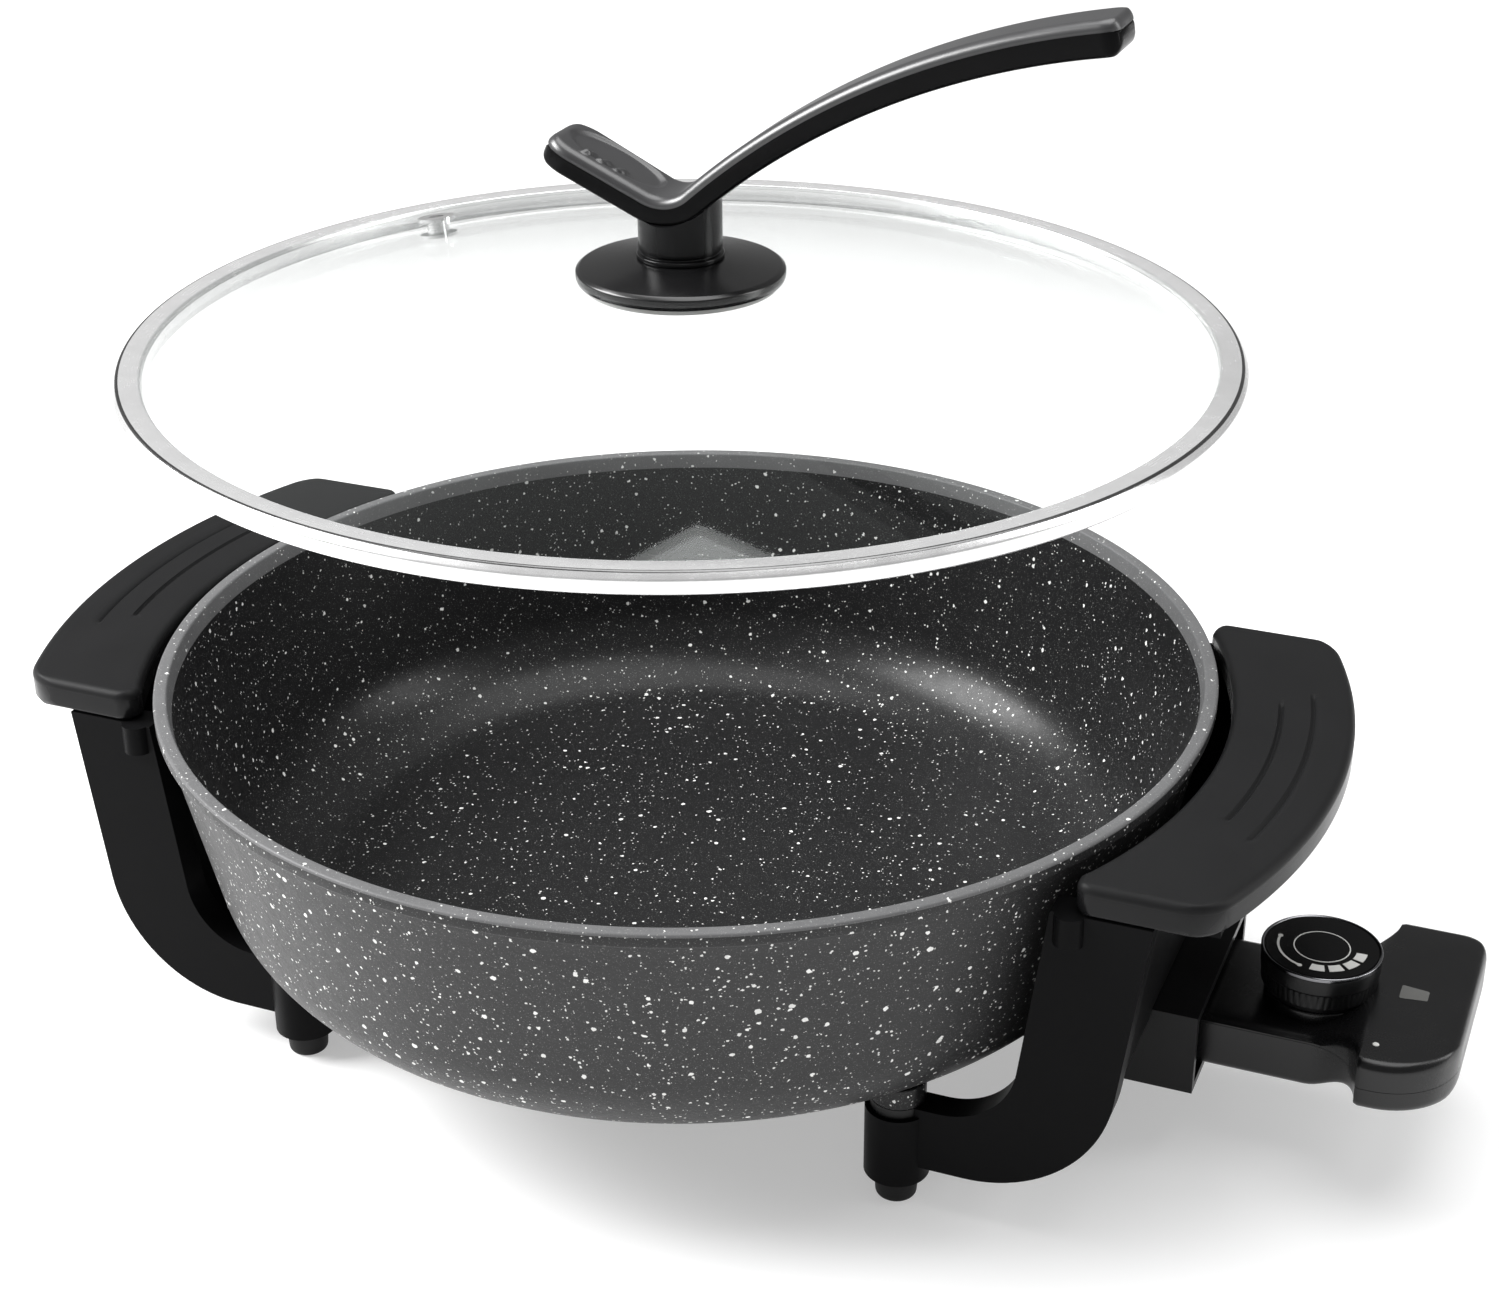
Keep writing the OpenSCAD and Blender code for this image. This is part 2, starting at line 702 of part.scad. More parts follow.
module handle_stem() {
    place() color([0.06, 0.06, 0.06]) difference() {
        translate([0, 0, flange_top_z]) cylinder(h = vee_z - flange_top_z, r = stem_r);
        upright(-2 * stem_r, 2 * stem_r) above_handle();
        translate([0, 0, flange_top_z - 1]) cylinder(h = stem_h - 4, r = bolt_r + seat_gap, $fn = fine);
    }
}

module handle_body() {
    place() color([0.05, 0.05, 0.05]) handle_layer(-half_t, half_t - cap_t);
}

module handle_cap() {
    place() color([0.16, 0.16, 0.16]) handle_layer(half_t - cap_t, half_t);
}

module lid_washer() {
    place() color([0.75, 0.75, 0.75]) translate([0, 0, washer_z]) difference() {
        cylinder(h = washer_t, r = washer_r, $fn = fine);
        translate([0, 0, -1]) cylinder(h = washer_t + 2, r = bolt_r + seat_gap, $fn = fine);
    }
}

module lid_screw() {
    place() color([0.7, 0.7, 0.7]) translate([0, 0, washer_z])
        screw(bolt_r, bolt_head_r, 2.2, flange_top_z + stem_h - 7 - washer_z);
}

// Plan of the probe's neck, taken in by d
module neck_plan(d) {
    round_rect(neck_x + d, head_x + 6 - d, -neck_w / 2 + d, neck_w / 2 - d, 2.5);
}

// Plan of the probe's head, taken in by d
module head_plan(d) {
    round_rect(head_x + d, head_end_x - d, -head_w / 2 + d, head_w / 2 - d, head_corner - d);
}

// Plan of the flare between neck and head, taken in by d
module flare_plan(d) {
    half = neck_w / 2 + flare_r;
    difference() {
        translate([head_x - flare_r + d, -half + d]) square([flare_r + 5, 2 * (half - d)]);
        for (side = [-1, 1]) translate([head_x - flare_r, side * half]) circle(flare_r + d, $fn = fine);
    }
}

// Outside of the whole probe, taken in by d on every side
module probe_outer(d) {
    translate([0, 0, neck_z + d]) linear_extrude(neck_h - 2 * d) neck_plan(d);
    translate([0, 0, head_z + d]) linear_extrude(neck_z + neck_h - head_z - 2 * d) flare_plan(d);
    translate([0, 0, head_z + d]) linear_extrude(head_h - 2 * d) head_plan(d);
}

module below(z) {
    translate([neck_x - 10, -head_w, z - 100]) cube([neck_len + head_len + 30, 2 * head_w, 100]);
}

module pin_entries() {
    at_pins() rod_x(neck_x - 1, neck_x + shell_t + 1, 0, terminal_z, pin_r + slide_gap);
    rod_x(neck_x - 1, neck_x + shell_t + 1, 0, terminal_z, rod_r + seat_gap);
}

module gland_hole() {
    translate([gland_x, head_w / 2 - 10, gland_z]) rotate([-90, 0, 0])
        cylinder(h = 20, r = gland_r - 1.5 + seat_gap, $fn = fine);
}

module probe_lower_shell() {
    place() color([0.06, 0.06, 0.06]) difference() {
        union() {
            intersection() {
                difference() {
                    probe_outer(0);
                    probe_outer(shell_t);
                }
                below(part_z);
            }
            for (p = post_places) translate([p[0], p[1], head_z + 0.5]) cylinder(h = part_z - head_z - 0.5, r = 4, $fn = fine);
        }
        pin_entries();
        gland_hole();
        for (p = post_places) translate([p[0], p[1], head_z - 1]) {
            cylinder(h = head_h, r = 1.5 + seat_gap, $fn = fine);
            cylinder(h = 3.2, r = 3, $fn = fine);
        }
    }
}

module probe_upper_shell() {
    top = head_z + head_h;
    place() color([0.06, 0.06, 0.06]) difference() {
        union() {
            difference() {
                union() {
                    probe_outer(0);
                    translate([dial_x, 0, neck_z + neck_h - 1]) cylinder(h = seat_z - neck_z - neck_h + 1, r = dial_r - 2);
                }
                probe_outer(shell_t);
                below(part_z);
            }
            for (p = post_places) translate([p[0], p[1], part_z]) cylinder(h = top - part_z - 1, r = 4, $fn = fine);
        }
        translate([dial_x, 0, part_z]) cylinder(h = 30, r = spindle_r + spindle_gap, $fn = fine);
        translate([lens_x, 0, top - shell_t - 1]) linear_extrude(shell_t + 2) lens_plan(seat_gap);
        gland_hole();
        for (p = post_places) translate([p[0], p[1], part_z - 1]) cylinder(h = 7, r = 1.5 + seat_gap, $fn = fine);
    }
}

// Trapezoid window, grown by g
module lens_plan(g) {
    polygon([[-3.6 - g, -2.6 - g], [3.6 + g, -1.6 - g], [3.6 + g, 1.6 + g], [-3.6 - g, 2.6 + g]]);
}

module sensor_rod() {
    tip = neck_x - rod_out + slide_gap;
    place() color([0.75, 0.75, 0.75]) {
        rod_x(tip + rod_r, carrier_x, 0, terminal_z, rod_r);
        translate([tip + rod_r, 0, terminal_z]) sphere(rod_r, $fn = fine);
    }
}

module pin_sockets() {
    place() color([0.78, 0.6, 0.3]) at_pins() difference() {
        rod_x(neck_x + shell_t + 0.1, carrier_x, 0, terminal_z, pin_r + slide_gap + 1);
        rod_x(neck_x, carrier_x - 1, 0, terminal_z, pin_r + slide_gap);
    }
}

module contact_carrier() {
    w = neck_w - 2 * shell_t - 1;
    h = neck_h - 2 * shell_t - 1;
    place() color([0.92, 0.9, 0.85]) translate([carrier_x, -w / 2, terminal_z - h / 2]) cube([carrier_len, w, h]);
}

// Strip of metal from the carrier towards the head, at side y and height z
module blade(y, z, length, wide) {
    translate([carrier_x + carrier_len, y - wide / 2, z]) cube([length, wide, 0.8]);
}

module bimetal_blade() {
    place() color([0.7, 0.55, 0.4]) blade(0, terminal_z - 3.5, 24, 8);
}

module fixed_contact() {
    place() color([0.78, 0.6, 0.3]) {
        blade(12, terminal_z - 1, 26, 6);
        translate([carrier_x + carrier_len + 22, 12, terminal_z - 0.2]) cylinder(h = 1.2, r = 2, $fn = fine);
    }
}

module moving_contact() {
    place() color([0.78, 0.6, 0.3]) {
        blade(12, terminal_z + 2.4, 30, 5);
        translate([carrier_x + carrier_len + 22, 12, terminal_z + 1.2]) cylinder(h = 1.2, r = 2, $fn = fine);
    }
}

module indicator_lens() {
    place() color([0.75, 0.75, 0.72]) translate([lens_x, 0, head_z + head_h - shell_t]) linear_extrude(shell_t) lens_plan(0);
}

module indicator_lamp() {
    place() color([0.9, 0.4, 0.1]) translate([lens_x, 0, head_z + head_h - shell_t - 6]) {
        cylinder(h = 3.5, r = 1.6, $fn = fine);
        translate([0, 0, 3.5]) sphere(1.6, $fn = fine);
    }
}

module shell_screws() {
    place() color([0.7, 0.7, 0.7]) for (p = post_places) translate([p[0], p[1], head_z + 2.2]) screw(1.5, 2.7, 1.6, head_h - 6);
}

module cord_gland() {
    y = head_w / 2;
    place() color([0.05, 0.05, 0.05]) translate([gland_x, 0, gland_z]) rotate([-90, 0, 0]) difference() {
        union() {
            translate([0, 0, y]) cylinder(h = gland_len - shell_t - 2, r1 = gland_r, r2 = gland_r - 0.8, $fn = fine);
            translate([0, 0, y - shell_t - 2]) cylinder(h = shell_t + 2, r = gland_r - 1.5, $fn = fine);
        }
        translate([0, 0, y - shell_t - 3]) cylinder(h = gland_len + 4, r = gland_bore_r, $fn = fine);
    }
}

module at_dial(z) {
    translate([dial_x, 0, z]) children();
}

module dial_knob() {
    skirt_r = dial_r - 0.6;
    place() color([0.05, 0.05, 0.05]) difference() {
        at_dial(dial_z) cylinder(h = dial_h - 1.2, r = skirt_r);
        for (i = [0 : rib_count - 1]) at_dial(dial_z + 3) rotate([0, 0, i * 360 / rib_count])
            translate([skirt_r + 0.3, 0, 0]) rotate([0, 0, 45]) cube([2 * rib_d, 2 * rib_d, 2 * (dial_h - 6)], center = true);
        at_dial(dial_z - 1) cylinder(h = dial_h - 3, r = spindle_r + seat_gap, $fn = fine);
    }
}

module dial_ring() {
    place() color([0.8, 0.8, 0.8]) at_dial(dial_top_z - 1.2) difference() {
        cylinder(h = 1.2, r = dial_r);
        translate([0, 0, -1]) cylinder(h = 3, r = dial_r - ring_w);
    }
}

module dial_face() {
    place() color([0.04, 0.04, 0.04]) at_dial(dial_top_z - 1.2) cylinder(h = 1, r = dial_r - ring_w - seat_gap);
}

module dial_spindle() {
    low = part_z - 2;
    place() color([0.7, 0.7, 0.7]) at_dial(low) cylinder(h = dial_z + dial_h - 5 - low, r = spindle_r, $fn = fine);
}

pan();
heating_element();
terminal_pins();
terminal_insulators();
socket_housing();
socket_screws();
left_grip();
right_grip();
left_leg_frame();
right_leg_frame();
grip_screws();
leg_screws();
leg_spacers();
foot_front_left();
foot_front_right();
foot_rear_left();
foot_rear_right();
lid_glass();
lid_rim();
vent_grommet();
flange_gasket();
handle_flange();
handle_stem();
handle_body();
handle_cap();
lid_washer();
lid_screw();
probe_lower_shell();
probe_upper_shell();
sensor_rod();
pin_sockets();
contact_carrier();
bimetal_blade();
fixed_contact();
moving_contact();
indicator_lens();
indicator_lamp();
shell_screws();
cord_gland();
dial_knob();
dial_ring();
dial_face();
dial_spindle();
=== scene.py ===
"""Round electric skillet: smooth surfaces, finishes and a studio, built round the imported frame.

Every new shape is a surface worked out with numpy, in metres. The pan and the lid share one upright
axis at AXIS_X; the probe and its dial lie on the +X side."""

import json
import math

import bmesh
import bpy
import numpy as np
from mathutils import Matrix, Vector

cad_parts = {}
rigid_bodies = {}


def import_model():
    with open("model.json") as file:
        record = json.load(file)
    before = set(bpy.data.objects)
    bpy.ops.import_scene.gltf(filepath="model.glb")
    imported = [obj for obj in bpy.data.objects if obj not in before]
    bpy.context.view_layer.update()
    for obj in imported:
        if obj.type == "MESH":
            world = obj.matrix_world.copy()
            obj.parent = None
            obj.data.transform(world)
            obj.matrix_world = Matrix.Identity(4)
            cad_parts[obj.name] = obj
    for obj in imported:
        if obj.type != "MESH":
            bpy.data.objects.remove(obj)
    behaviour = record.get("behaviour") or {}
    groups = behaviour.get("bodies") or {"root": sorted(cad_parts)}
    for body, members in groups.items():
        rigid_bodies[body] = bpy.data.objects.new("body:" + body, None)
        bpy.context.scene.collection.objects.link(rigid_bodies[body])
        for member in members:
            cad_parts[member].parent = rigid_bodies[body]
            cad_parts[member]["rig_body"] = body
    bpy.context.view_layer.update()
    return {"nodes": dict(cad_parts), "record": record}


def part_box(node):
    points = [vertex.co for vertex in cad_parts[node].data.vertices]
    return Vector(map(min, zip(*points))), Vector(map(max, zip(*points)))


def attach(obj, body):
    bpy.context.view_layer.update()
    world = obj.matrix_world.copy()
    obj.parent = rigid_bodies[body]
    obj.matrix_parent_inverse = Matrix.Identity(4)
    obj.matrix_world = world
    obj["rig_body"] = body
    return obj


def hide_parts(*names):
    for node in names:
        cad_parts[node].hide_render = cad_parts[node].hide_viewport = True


bl_info = {
    "name": "Electric skillet",
    "version": (1, 0, 0),
    "blender": (4, 5, 0),
    "location": "3D View > Sidebar > Skillet",
    "description": "Builds the surfaces, finishes and studio of a round electric skillet",
    "category": "Add Mesh",
}

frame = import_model()
MM = 0.001
TURN = 2 * math.pi
TINY = 1e-7

LID_LOW, LID_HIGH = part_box("lid_rim")
AXIS_X = (LID_LOW.x + LID_HIGH.x) / 2
PAN_LOW, PAN_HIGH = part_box("pan")
RIM_R = PAN_HIGH.y
RIM_Z = PAN_HIGH.z
GRIP_LOW, GRIP_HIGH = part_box("right_grip")
FOOT_LOW, FOOT_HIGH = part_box("foot_front_left")
GLASS_LOW, GLASS_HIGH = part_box("lid_glass")
FLANGE_LOW, FLANGE_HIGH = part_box("handle_flange")
STEM_LOW, STEM_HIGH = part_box("handle_stem")
BODY_LOW, BODY_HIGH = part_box("handle_body")
CAP_LOW, CAP_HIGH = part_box("handle_cap")
SHELL_LOW, SHELL_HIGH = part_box("probe_lower_shell")
TOP_LOW, TOP_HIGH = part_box("probe_upper_shell")
KNOB_LOW, KNOB_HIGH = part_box("dial_knob")
RING_LOW, RING_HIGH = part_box("dial_ring")
DIAL_X = (RING_LOW.x + RING_HIGH.x) / 2


# ---------------------------------------------------------------- surfaces


def grid_faces(m, n, wrap_u, wrap_v):
    """Quads between neighbouring points of an m by n grid.
    A wrapped direction joins its last line to its first."""
    u = np.arange(m if wrap_u else m - 1)[:, None]
    v = np.arange(n if wrap_v else n - 1)[None, :]
    u2, v2 = (u + 1) % m, (v + 1) % n
    return np.stack([u * n + v, u2 * n + v, u2 * n + v2, u * n + v2], -1).reshape(-1, 4)


def piece(name, grids, body, finishes, nodes=(), sharp=40, rows=None):
    """One object from closed grids of points. Each grid is (points, wrap_u, wrap_v); open ends are filled.
    Doubled points are merged, then all faces are turned outwards. rows gives each column's finish number."""
    points, faces, numbers, start = [], [], [], 0
    for grid, wrap_u, wrap_v in grids:
        m, n = grid.shape[:2]
        quads = grid_faces(m, n, wrap_u, wrap_v)
        points.append(grid.reshape(-1, 3))
        faces.append(quads + start)
        numbers.append(np.zeros(len(quads), int) if rows is None else rows[quads[:, 0] % n])
        start += m * n
    mesh = bpy.data.meshes.new(name)
    mesh.from_pydata(np.concatenate(points).tolist(), [], np.concatenate(faces).tolist())
    for finish in finishes:
        mesh.materials.append(finish)
    mesh.polygons.foreach_set("material_index", np.concatenate(numbers).astype(np.int32))
    work = bmesh.new()
    work.from_mesh(mesh)
    bmesh.ops.remove_doubles(work, verts=work.verts, dist=TINY)
    bmesh.ops.holes_fill(work, edges=[e for e in work.edges if e.is_boundary], sides=0)
    bmesh.ops.recalc_face_normals(work, faces=work.faces)
    work.to_mesh(mesh)
    work.free()
    mesh.shade_smooth()
    mesh.set_sharp_from_angle(angle=math.radians(sharp))
    made = bpy.data.objects.new(name, mesh)
    bpy.context.scene.collection.objects.link(made)
    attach(made, body)
    if nodes:
        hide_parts(*nodes)
    return made


def rounded(corners, radii, steps=6, closed=True):
    """The line through the corners, each rounded by an arc that touches both of its sides.
    For a corner angle a, the arc starts r / tan(a / 2) from the corner,
    and its centre is r / sin(a / 2) away."""
    corners = np.asarray(corners, float)
    radii = np.broadcast_to(np.asarray(radii, float), len(corners))
    out = []
    for i, (corner, radius) in enumerate(zip(corners, radii)):
        if radius < TINY or (not closed and i in (0, len(corners) - 1)):
            out.append(corner[None])
            continue
        a = corners[i - 1] - corner
        b = corners[(i + 1) % len(corners)] - corner
        a, b = a / np.linalg.norm(a), b / np.linalg.norm(b)
        half = math.acos(np.clip(a @ b, -1, 1)) / 2
        middle = corner + (a + b) / np.linalg.norm(a + b) * radius / math.sin(half)
        start = corner + a * radius / math.tan(half) - middle
        end = corner + b * radius / math.tan(half) - middle
        first = math.atan2(start[1], start[0])
        sweep = (math.atan2(end[1], end[0]) - first + math.pi) % TURN - math.pi
        angle = first + sweep * np.linspace(0, 1, steps + 1)
        out.append(middle + radius * np.stack([np.cos(angle), np.sin(angle)], -1))
    return np.concatenate(out)


def turned(profile, steps=192, x=AXIS_X, y=0.0):
    """A profile of (radius, height) pairs carried round an upright axis: x = radius cos, y = radius sin."""
    angle = np.linspace(0, TURN, steps, endpoint=False)[:, None]
    r, z = profile[:, 0], profile[:, 1]
    points = np.stack([x + r * np.cos(angle), y + r * np.sin(angle), np.broadcast_to(z, (steps, len(z)))], -1)
    return points, True, bool(r[0] > TINY)


def slab(outline, low, high, low_edge, high_edge, steps=5):
    """A flat piece with a closed outline. Its rings follow a quarter circle in at the bottom and top
    edges: each ring is the outline moved along its own normals by edge (1 - sin) while the height
    runs by edge (1 - cos)."""
    ahead, behind = np.roll(outline, -1, 0), np.roll(outline, 1, 0)
    along = ahead - behind
    along /= np.linalg.norm(along, axis=1, keepdims=True)
    area = 0.5 * np.sum(outline[:, 0] * ahead[:, 1] - ahead[:, 0] * outline[:, 1])
    outward = np.stack([along[:, 1], -along[:, 0]], -1) * math.copysign(1, area)
    turn = np.linspace(0, math.pi / 2, steps)
    inset = np.concatenate([low_edge * (1 - np.sin(turn)), high_edge * (1 - np.sin(turn[::-1]))])
    height = np.concatenate([low + low_edge * (1 - np.cos(turn)), high - high_edge * (1 - np.cos(turn[::-1]))])
    plan = outline[None] - outward[None] * inset[:, None, None]
    return np.concatenate([plan, np.broadcast_to(height[:, None, None], (*plan.shape[:2], 1))], -1), False, True


def carried(path, up, sections):
    """Sections of (across, upward) pairs carried along a path in the XZ plane: point + Y across + up upward."""
    across = np.zeros_like(path)
    across[:, 1] = 1
    points = path[:, None] + across[:, None] * sections[..., :1] + up[:, None] * sections[..., 1:]
    return points, False, True


def box_outline(x0, x1, y0, y1, radius, steps=6):
    """A rectangle with rounded corners."""
    return rounded([(x0, y0), (x1, y0), (x1, y1), (x0, y1)], radius, steps)


def softened(node, name, finish, width, segments=2):
    """A merged copy of a frame node with its sharp edges bevelled. It stands for the node."""
    source = frame["nodes"][node]
    mesh = source.data.copy()
    mesh.name = name
    work = bmesh.new()
    work.from_mesh(mesh)
    bmesh.ops.remove_doubles(work, verts=work.verts, dist=1e-6)
    bmesh.ops.dissolve_limit(work, angle_limit=math.radians(1), verts=work.verts, edges=work.edges)
    work.to_mesh(mesh)
    work.free()
    mesh.materials.clear()
    mesh.materials.append(finish)
    mesh.polygons.foreach_set("material_index", np.zeros(len(mesh.polygons), np.int32))
    mesh.shade_smooth()
    mesh.set_sharp_from_angle(angle=math.radians(30))
    made = bpy.data.objects.new(name, mesh)
    bpy.context.scene.collection.objects.link(made)
    bevel = made.modifiers.new("edges", "BEVEL")
    bevel.width = width
    bevel.segments = segments
    bevel.limit_method = "ANGLE"
    bevel.angle_limit = math.radians(40)
    bevel.harden_normals = True
    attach(made, source["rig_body"])
    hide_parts(node)
    return made


# ---------------------------------------------------------------- finishes


class Wire:
    """A shader socket that takes part in sums: each operator adds one Math node."""

    def __init__(self, shop, socket):
        self.shop, self.socket = shop, socket

    def maths(self, operation, *others):
        return self.shop.node("ShaderNodeMath", {"operation": operation}, *others)[0]

    def __add__(self, other):
        return self.maths("ADD", self, other)

    __radd__ = __add__

    def __sub__(self, other):
        return self.maths("SUBTRACT", self, other)

    def __rsub__(self, other):
        return self.maths("SUBTRACT", other, self)

    def __mul__(self, other):
        return self.maths("MULTIPLY", self, other)

    __rmul__ = __mul__

    def __truediv__(self, other):
        return self.maths("DIVIDE", self, other)

    def __pow__(self, other):
        return self.maths("POWER", self, other)

    def clamp(self):
        return self.shop.node("ShaderNodeClamp", {}, self, 0.0, 1.0)[0]

    def step(self, low, high):
        """0 below low, 1 above high and a straight ramp between."""
        return ((self - low) / (high - low)).clamp()


class Shop:
    """Adds nodes to one material."""

    def __init__(self, name):
        self.material = bpy.data.materials.new(name)
        self.material.use_nodes = True
        self.tree = self.material.node_tree
        self.tree.nodes.clear()

    def node(self, kind, settings, *values, **named):
        """A node of that kind: settings first, then its sockets by order and by name, where _ stands
        for a space. Returns its outputs."""
        made = self.tree.nodes.new(kind)
        for key, value in settings.items():
            setattr(made, key, value)
        for key, value in [*enumerate(values), *named.items()]:
            socket = made.inputs[key.replace("_", " ") if isinstance(key, str) else key]
            if isinstance(value, Wire):
                self.tree.links.new(value.socket, socket)
            elif value is not None:
                socket.default_value = value
        return [Wire(self, s) for s in made.outputs if s.enabled]

    def place(self):
        """Object coordinates."""
        return self.node("ShaderNodeTexCoord", {})[3]

    def noise(self, where, size, detail=2.0, rough=0.5):
        """Noise from 0 to 1 whose blobs are about size metres across."""
        return self.node(
            "ShaderNodeTexNoise", {}, Vector=where, Scale=1 / size, Detail=detail, Roughness=rough
        )[0]

    def cells(self, where, size):
        """Distance to the nearest cell point, in metres, and two random numbers of that cell."""
        distance, colour = self.node("ShaderNodeTexVoronoi", {}, Vector=where, Scale=1 / size)[:2]
        red, green, _ = self.node("ShaderNodeSeparateColor", {}, colour)
        return distance * size, red, green

    def blend(self, share, first, second):
        """first where share is 0 and second where it is 1."""
        mix = self.tree.nodes.new("ShaderNodeMix")
        mix.data_type = "RGBA"
        for socket, value in ((mix.inputs[0], share), (mix.inputs[6], first), (mix.inputs[7], second)):
            if isinstance(value, Wire):
                self.tree.links.new(value.socket, socket)
            else:
                socket.default_value = value if isinstance(value, float) else (*value, 1)
        return Wire(self, mix.outputs[2])

    def split(self, where):
        return self.node("ShaderNodeSeparateXYZ", {}, where)

    def bump(self, height, depth):
        """A normal from a height of 0 to 1 that stands depth metres high."""
        return self.node("ShaderNodeBump", {}, Strength=1.0, Distance=depth, Height=height)[0]

    def surface(self, **sockets):
        """The shader, with constants on its own sockets, joined to the output."""
        shader = self.node("ShaderNodeBsdfPrincipled", {}, **sockets)[0]
        self.node("ShaderNodeOutputMaterial", {}, shader)
        return self.material


def rgb(colour):
    return tuple(colour)[:3]


def stone(name, base, fleck, amount, peel, roughness):
    """Speckled coat: a mottled base, pale chips where a point lies inside a cell's own random radius,
    and fine specks."""
    shop = Shop(name)
    where = shop.place()
    wobble = shop.node("ShaderNodeTexNoise", {}, Vector=where, Scale=1 / (1.1 * MM), Detail=2.0)[1]
    shaken = shop.node("ShaderNodeVectorMath", {"operation": "SCALE"}, wobble, Scale=0.0011)[0]
    moved = shop.node("ShaderNodeVectorMath", {"operation": "ADD"}, where, shaken)[0]
    near, lot, tone = shop.cells(moved, 2.5 * MM)
    chips = (lot**6.0 * (0.95 * MM * amount) - near).step(0.0, 0.07 * MM)
    close, draw, _ = shop.cells(moved, 1.05 * MM)
    specks = (draw**4.0 * (0.42 * MM * amount) - close).step(0.0, 0.05 * MM)
    dust = shop.noise(where, 0.45 * MM, 3.0, 0.7).step(0.6, 0.72)
    cloud = shop.noise(where, 14 * MM, 3.0)
    ground = shop.blend(cloud, tuple(c * 0.86 for c in base), tuple(c * 1.14 for c in base))
    dusted = shop.blend(dust * 0.22, ground, fleck)
    pale = (chips * (0.75 + tone * 0.25) + specks * 0.8).clamp()
    colour = shop.blend(pale, dusted, fleck)
    skin = shop.noise(where, 1.3 * MM, 2.0) * 0.8 + shop.noise(where, 5 * MM, 1.0) * 0.4 + chips * 0.25
    return shop.surface(
        Base_Color=colour,
        Roughness=(shop.noise(where, 3 * MM) * 0.16 + roughness - 0.08 - pale * 0.05).clamp(),
        Normal=shop.bump(skin, peel),
        Specular_IOR_Level=0.25,
    )


def moulded(name, base, roughness, grain=0.02 * MM, edge=None, shine=0.25):
    """Moulded plastic: fine grain in the normal, handling marks in the roughness.
    edge = (height, glossy roughness) makes everything below that height smoother."""
    shop = Shop(name)
    where = shop.place()
    marks = shop.noise(where, 22 * MM, 4.0, 0.6)
    fine = shop.noise(where, 0.35 * MM, 3.0, 0.65)
    rough = marks * 0.14 + fine * 0.06 + (roughness - 0.1)
    if edge:
        top = shop.split(where)[2].step(edge[0] - 0.4 * MM, edge[0] + 0.4 * MM)
        rough = rough * top + (marks * 0.1 + (edge[1] - 0.05)) * (1 - top)
        fine = fine * top
    colour = shop.blend(marks, tuple(c * 0.82 for c in base), tuple(c * 1.2 for c in base))
    return shop.surface(
        Base_Color=colour,
        Roughness=rough.clamp(),
        Normal=shop.bump(fine, grain),
        Specular_IOR_Level=shine,
    )


def metal(name, base, roughness, lines=False, grain=0.01 * MM, part=1.0):
    """Worked metal: fine lines that run round the axis or along X, and stains in colour and roughness."""
    shop = Shop(name)
    where = shop.place()
    x, y, z = shop.split(where)
    if lines:
        across = (((x - AXIS_X) * (x - AXIS_X) + y * y) ** 0.5) + z * 1.7
        stretched = shop.node("ShaderNodeCombineXYZ", {}, across, x * 0.03, y * 0.03)[0]
    else:
        stretched = where
    streak = shop.noise(stretched, 0.25 * MM, 3.0, 0.6)
    stain = shop.noise(where, 9 * MM, 3.0, 0.6)
    colour = shop.blend(stain, tuple(c * 0.9 for c in base), tuple(min(1.0, c * 1.06) for c in base))
    return shop.surface(
        Base_Color=colour,
        Roughness=(streak * 0.12 + stain * 0.1 + (roughness - 0.1)).clamp(),
        Normal=shop.bump(streak, grain),
        Metallic=part,
    )


def baked(name, base, roughness=0.7):
    """Ceramic or silicone: a dull, slightly pitted face."""
    shop = Shop(name)
    where = shop.place()
    pits = shop.noise(where, 0.5 * MM, 4.0, 0.7)
    colour = shop.blend(shop.noise(where, 6 * MM), tuple(c * 0.88 for c in base), base)
    return shop.surface(
        Base_Color=colour,
        Roughness=(pits * 0.2 + (roughness - 0.1)).clamp(),
        Normal=shop.bump(pits, 0.03 * MM),
    )


def clear(name, tint, milk):
    """Clear sheet: light passes straight on. The share of gloss is milk + 0.75 facing^4, where facing is
    one less the cosine between sight and surface, the same from both sides."""
    shop = Shop(name)
    where = shop.place()
    smear = shop.noise(where, 40 * MM, 3.0)
    facing = shop.node("ShaderNodeLayerWeight", {}, 0.5)[1]
    gloss = shop.node(
        "ShaderNodeBsdfPrincipled",
        {},
        Base_Color=(*tint, 1),
        Roughness=smear * 0.04 + 0.02,
        Metallic=1.0,
    )[0]
    through = shop.node("ShaderNodeBsdfTransparent", {}, (0.985, 0.99, 0.988, 1))[0]
    share = (facing**4.0 * 0.75 + (milk + smear * 0.01)).clamp()
    mixed = shop.node("ShaderNodeMixShader", {}, share, through, gloss)[0]
    shop.node("ShaderNodeOutputMaterial", {}, mixed)
    return shop.material


def glow(name, base):
    """Small lamp: amber glass, darker in random patches."""
    shop = Shop(name)
    where = shop.place()
    colour = shop.blend(shop.noise(where, 2 * MM), tuple(c * 0.6 for c in base), base)
    return shop.surface(Base_Color=colour, Roughness=shop.noise(where, MM) * 0.1 + 0.1)


FINISHES = {}


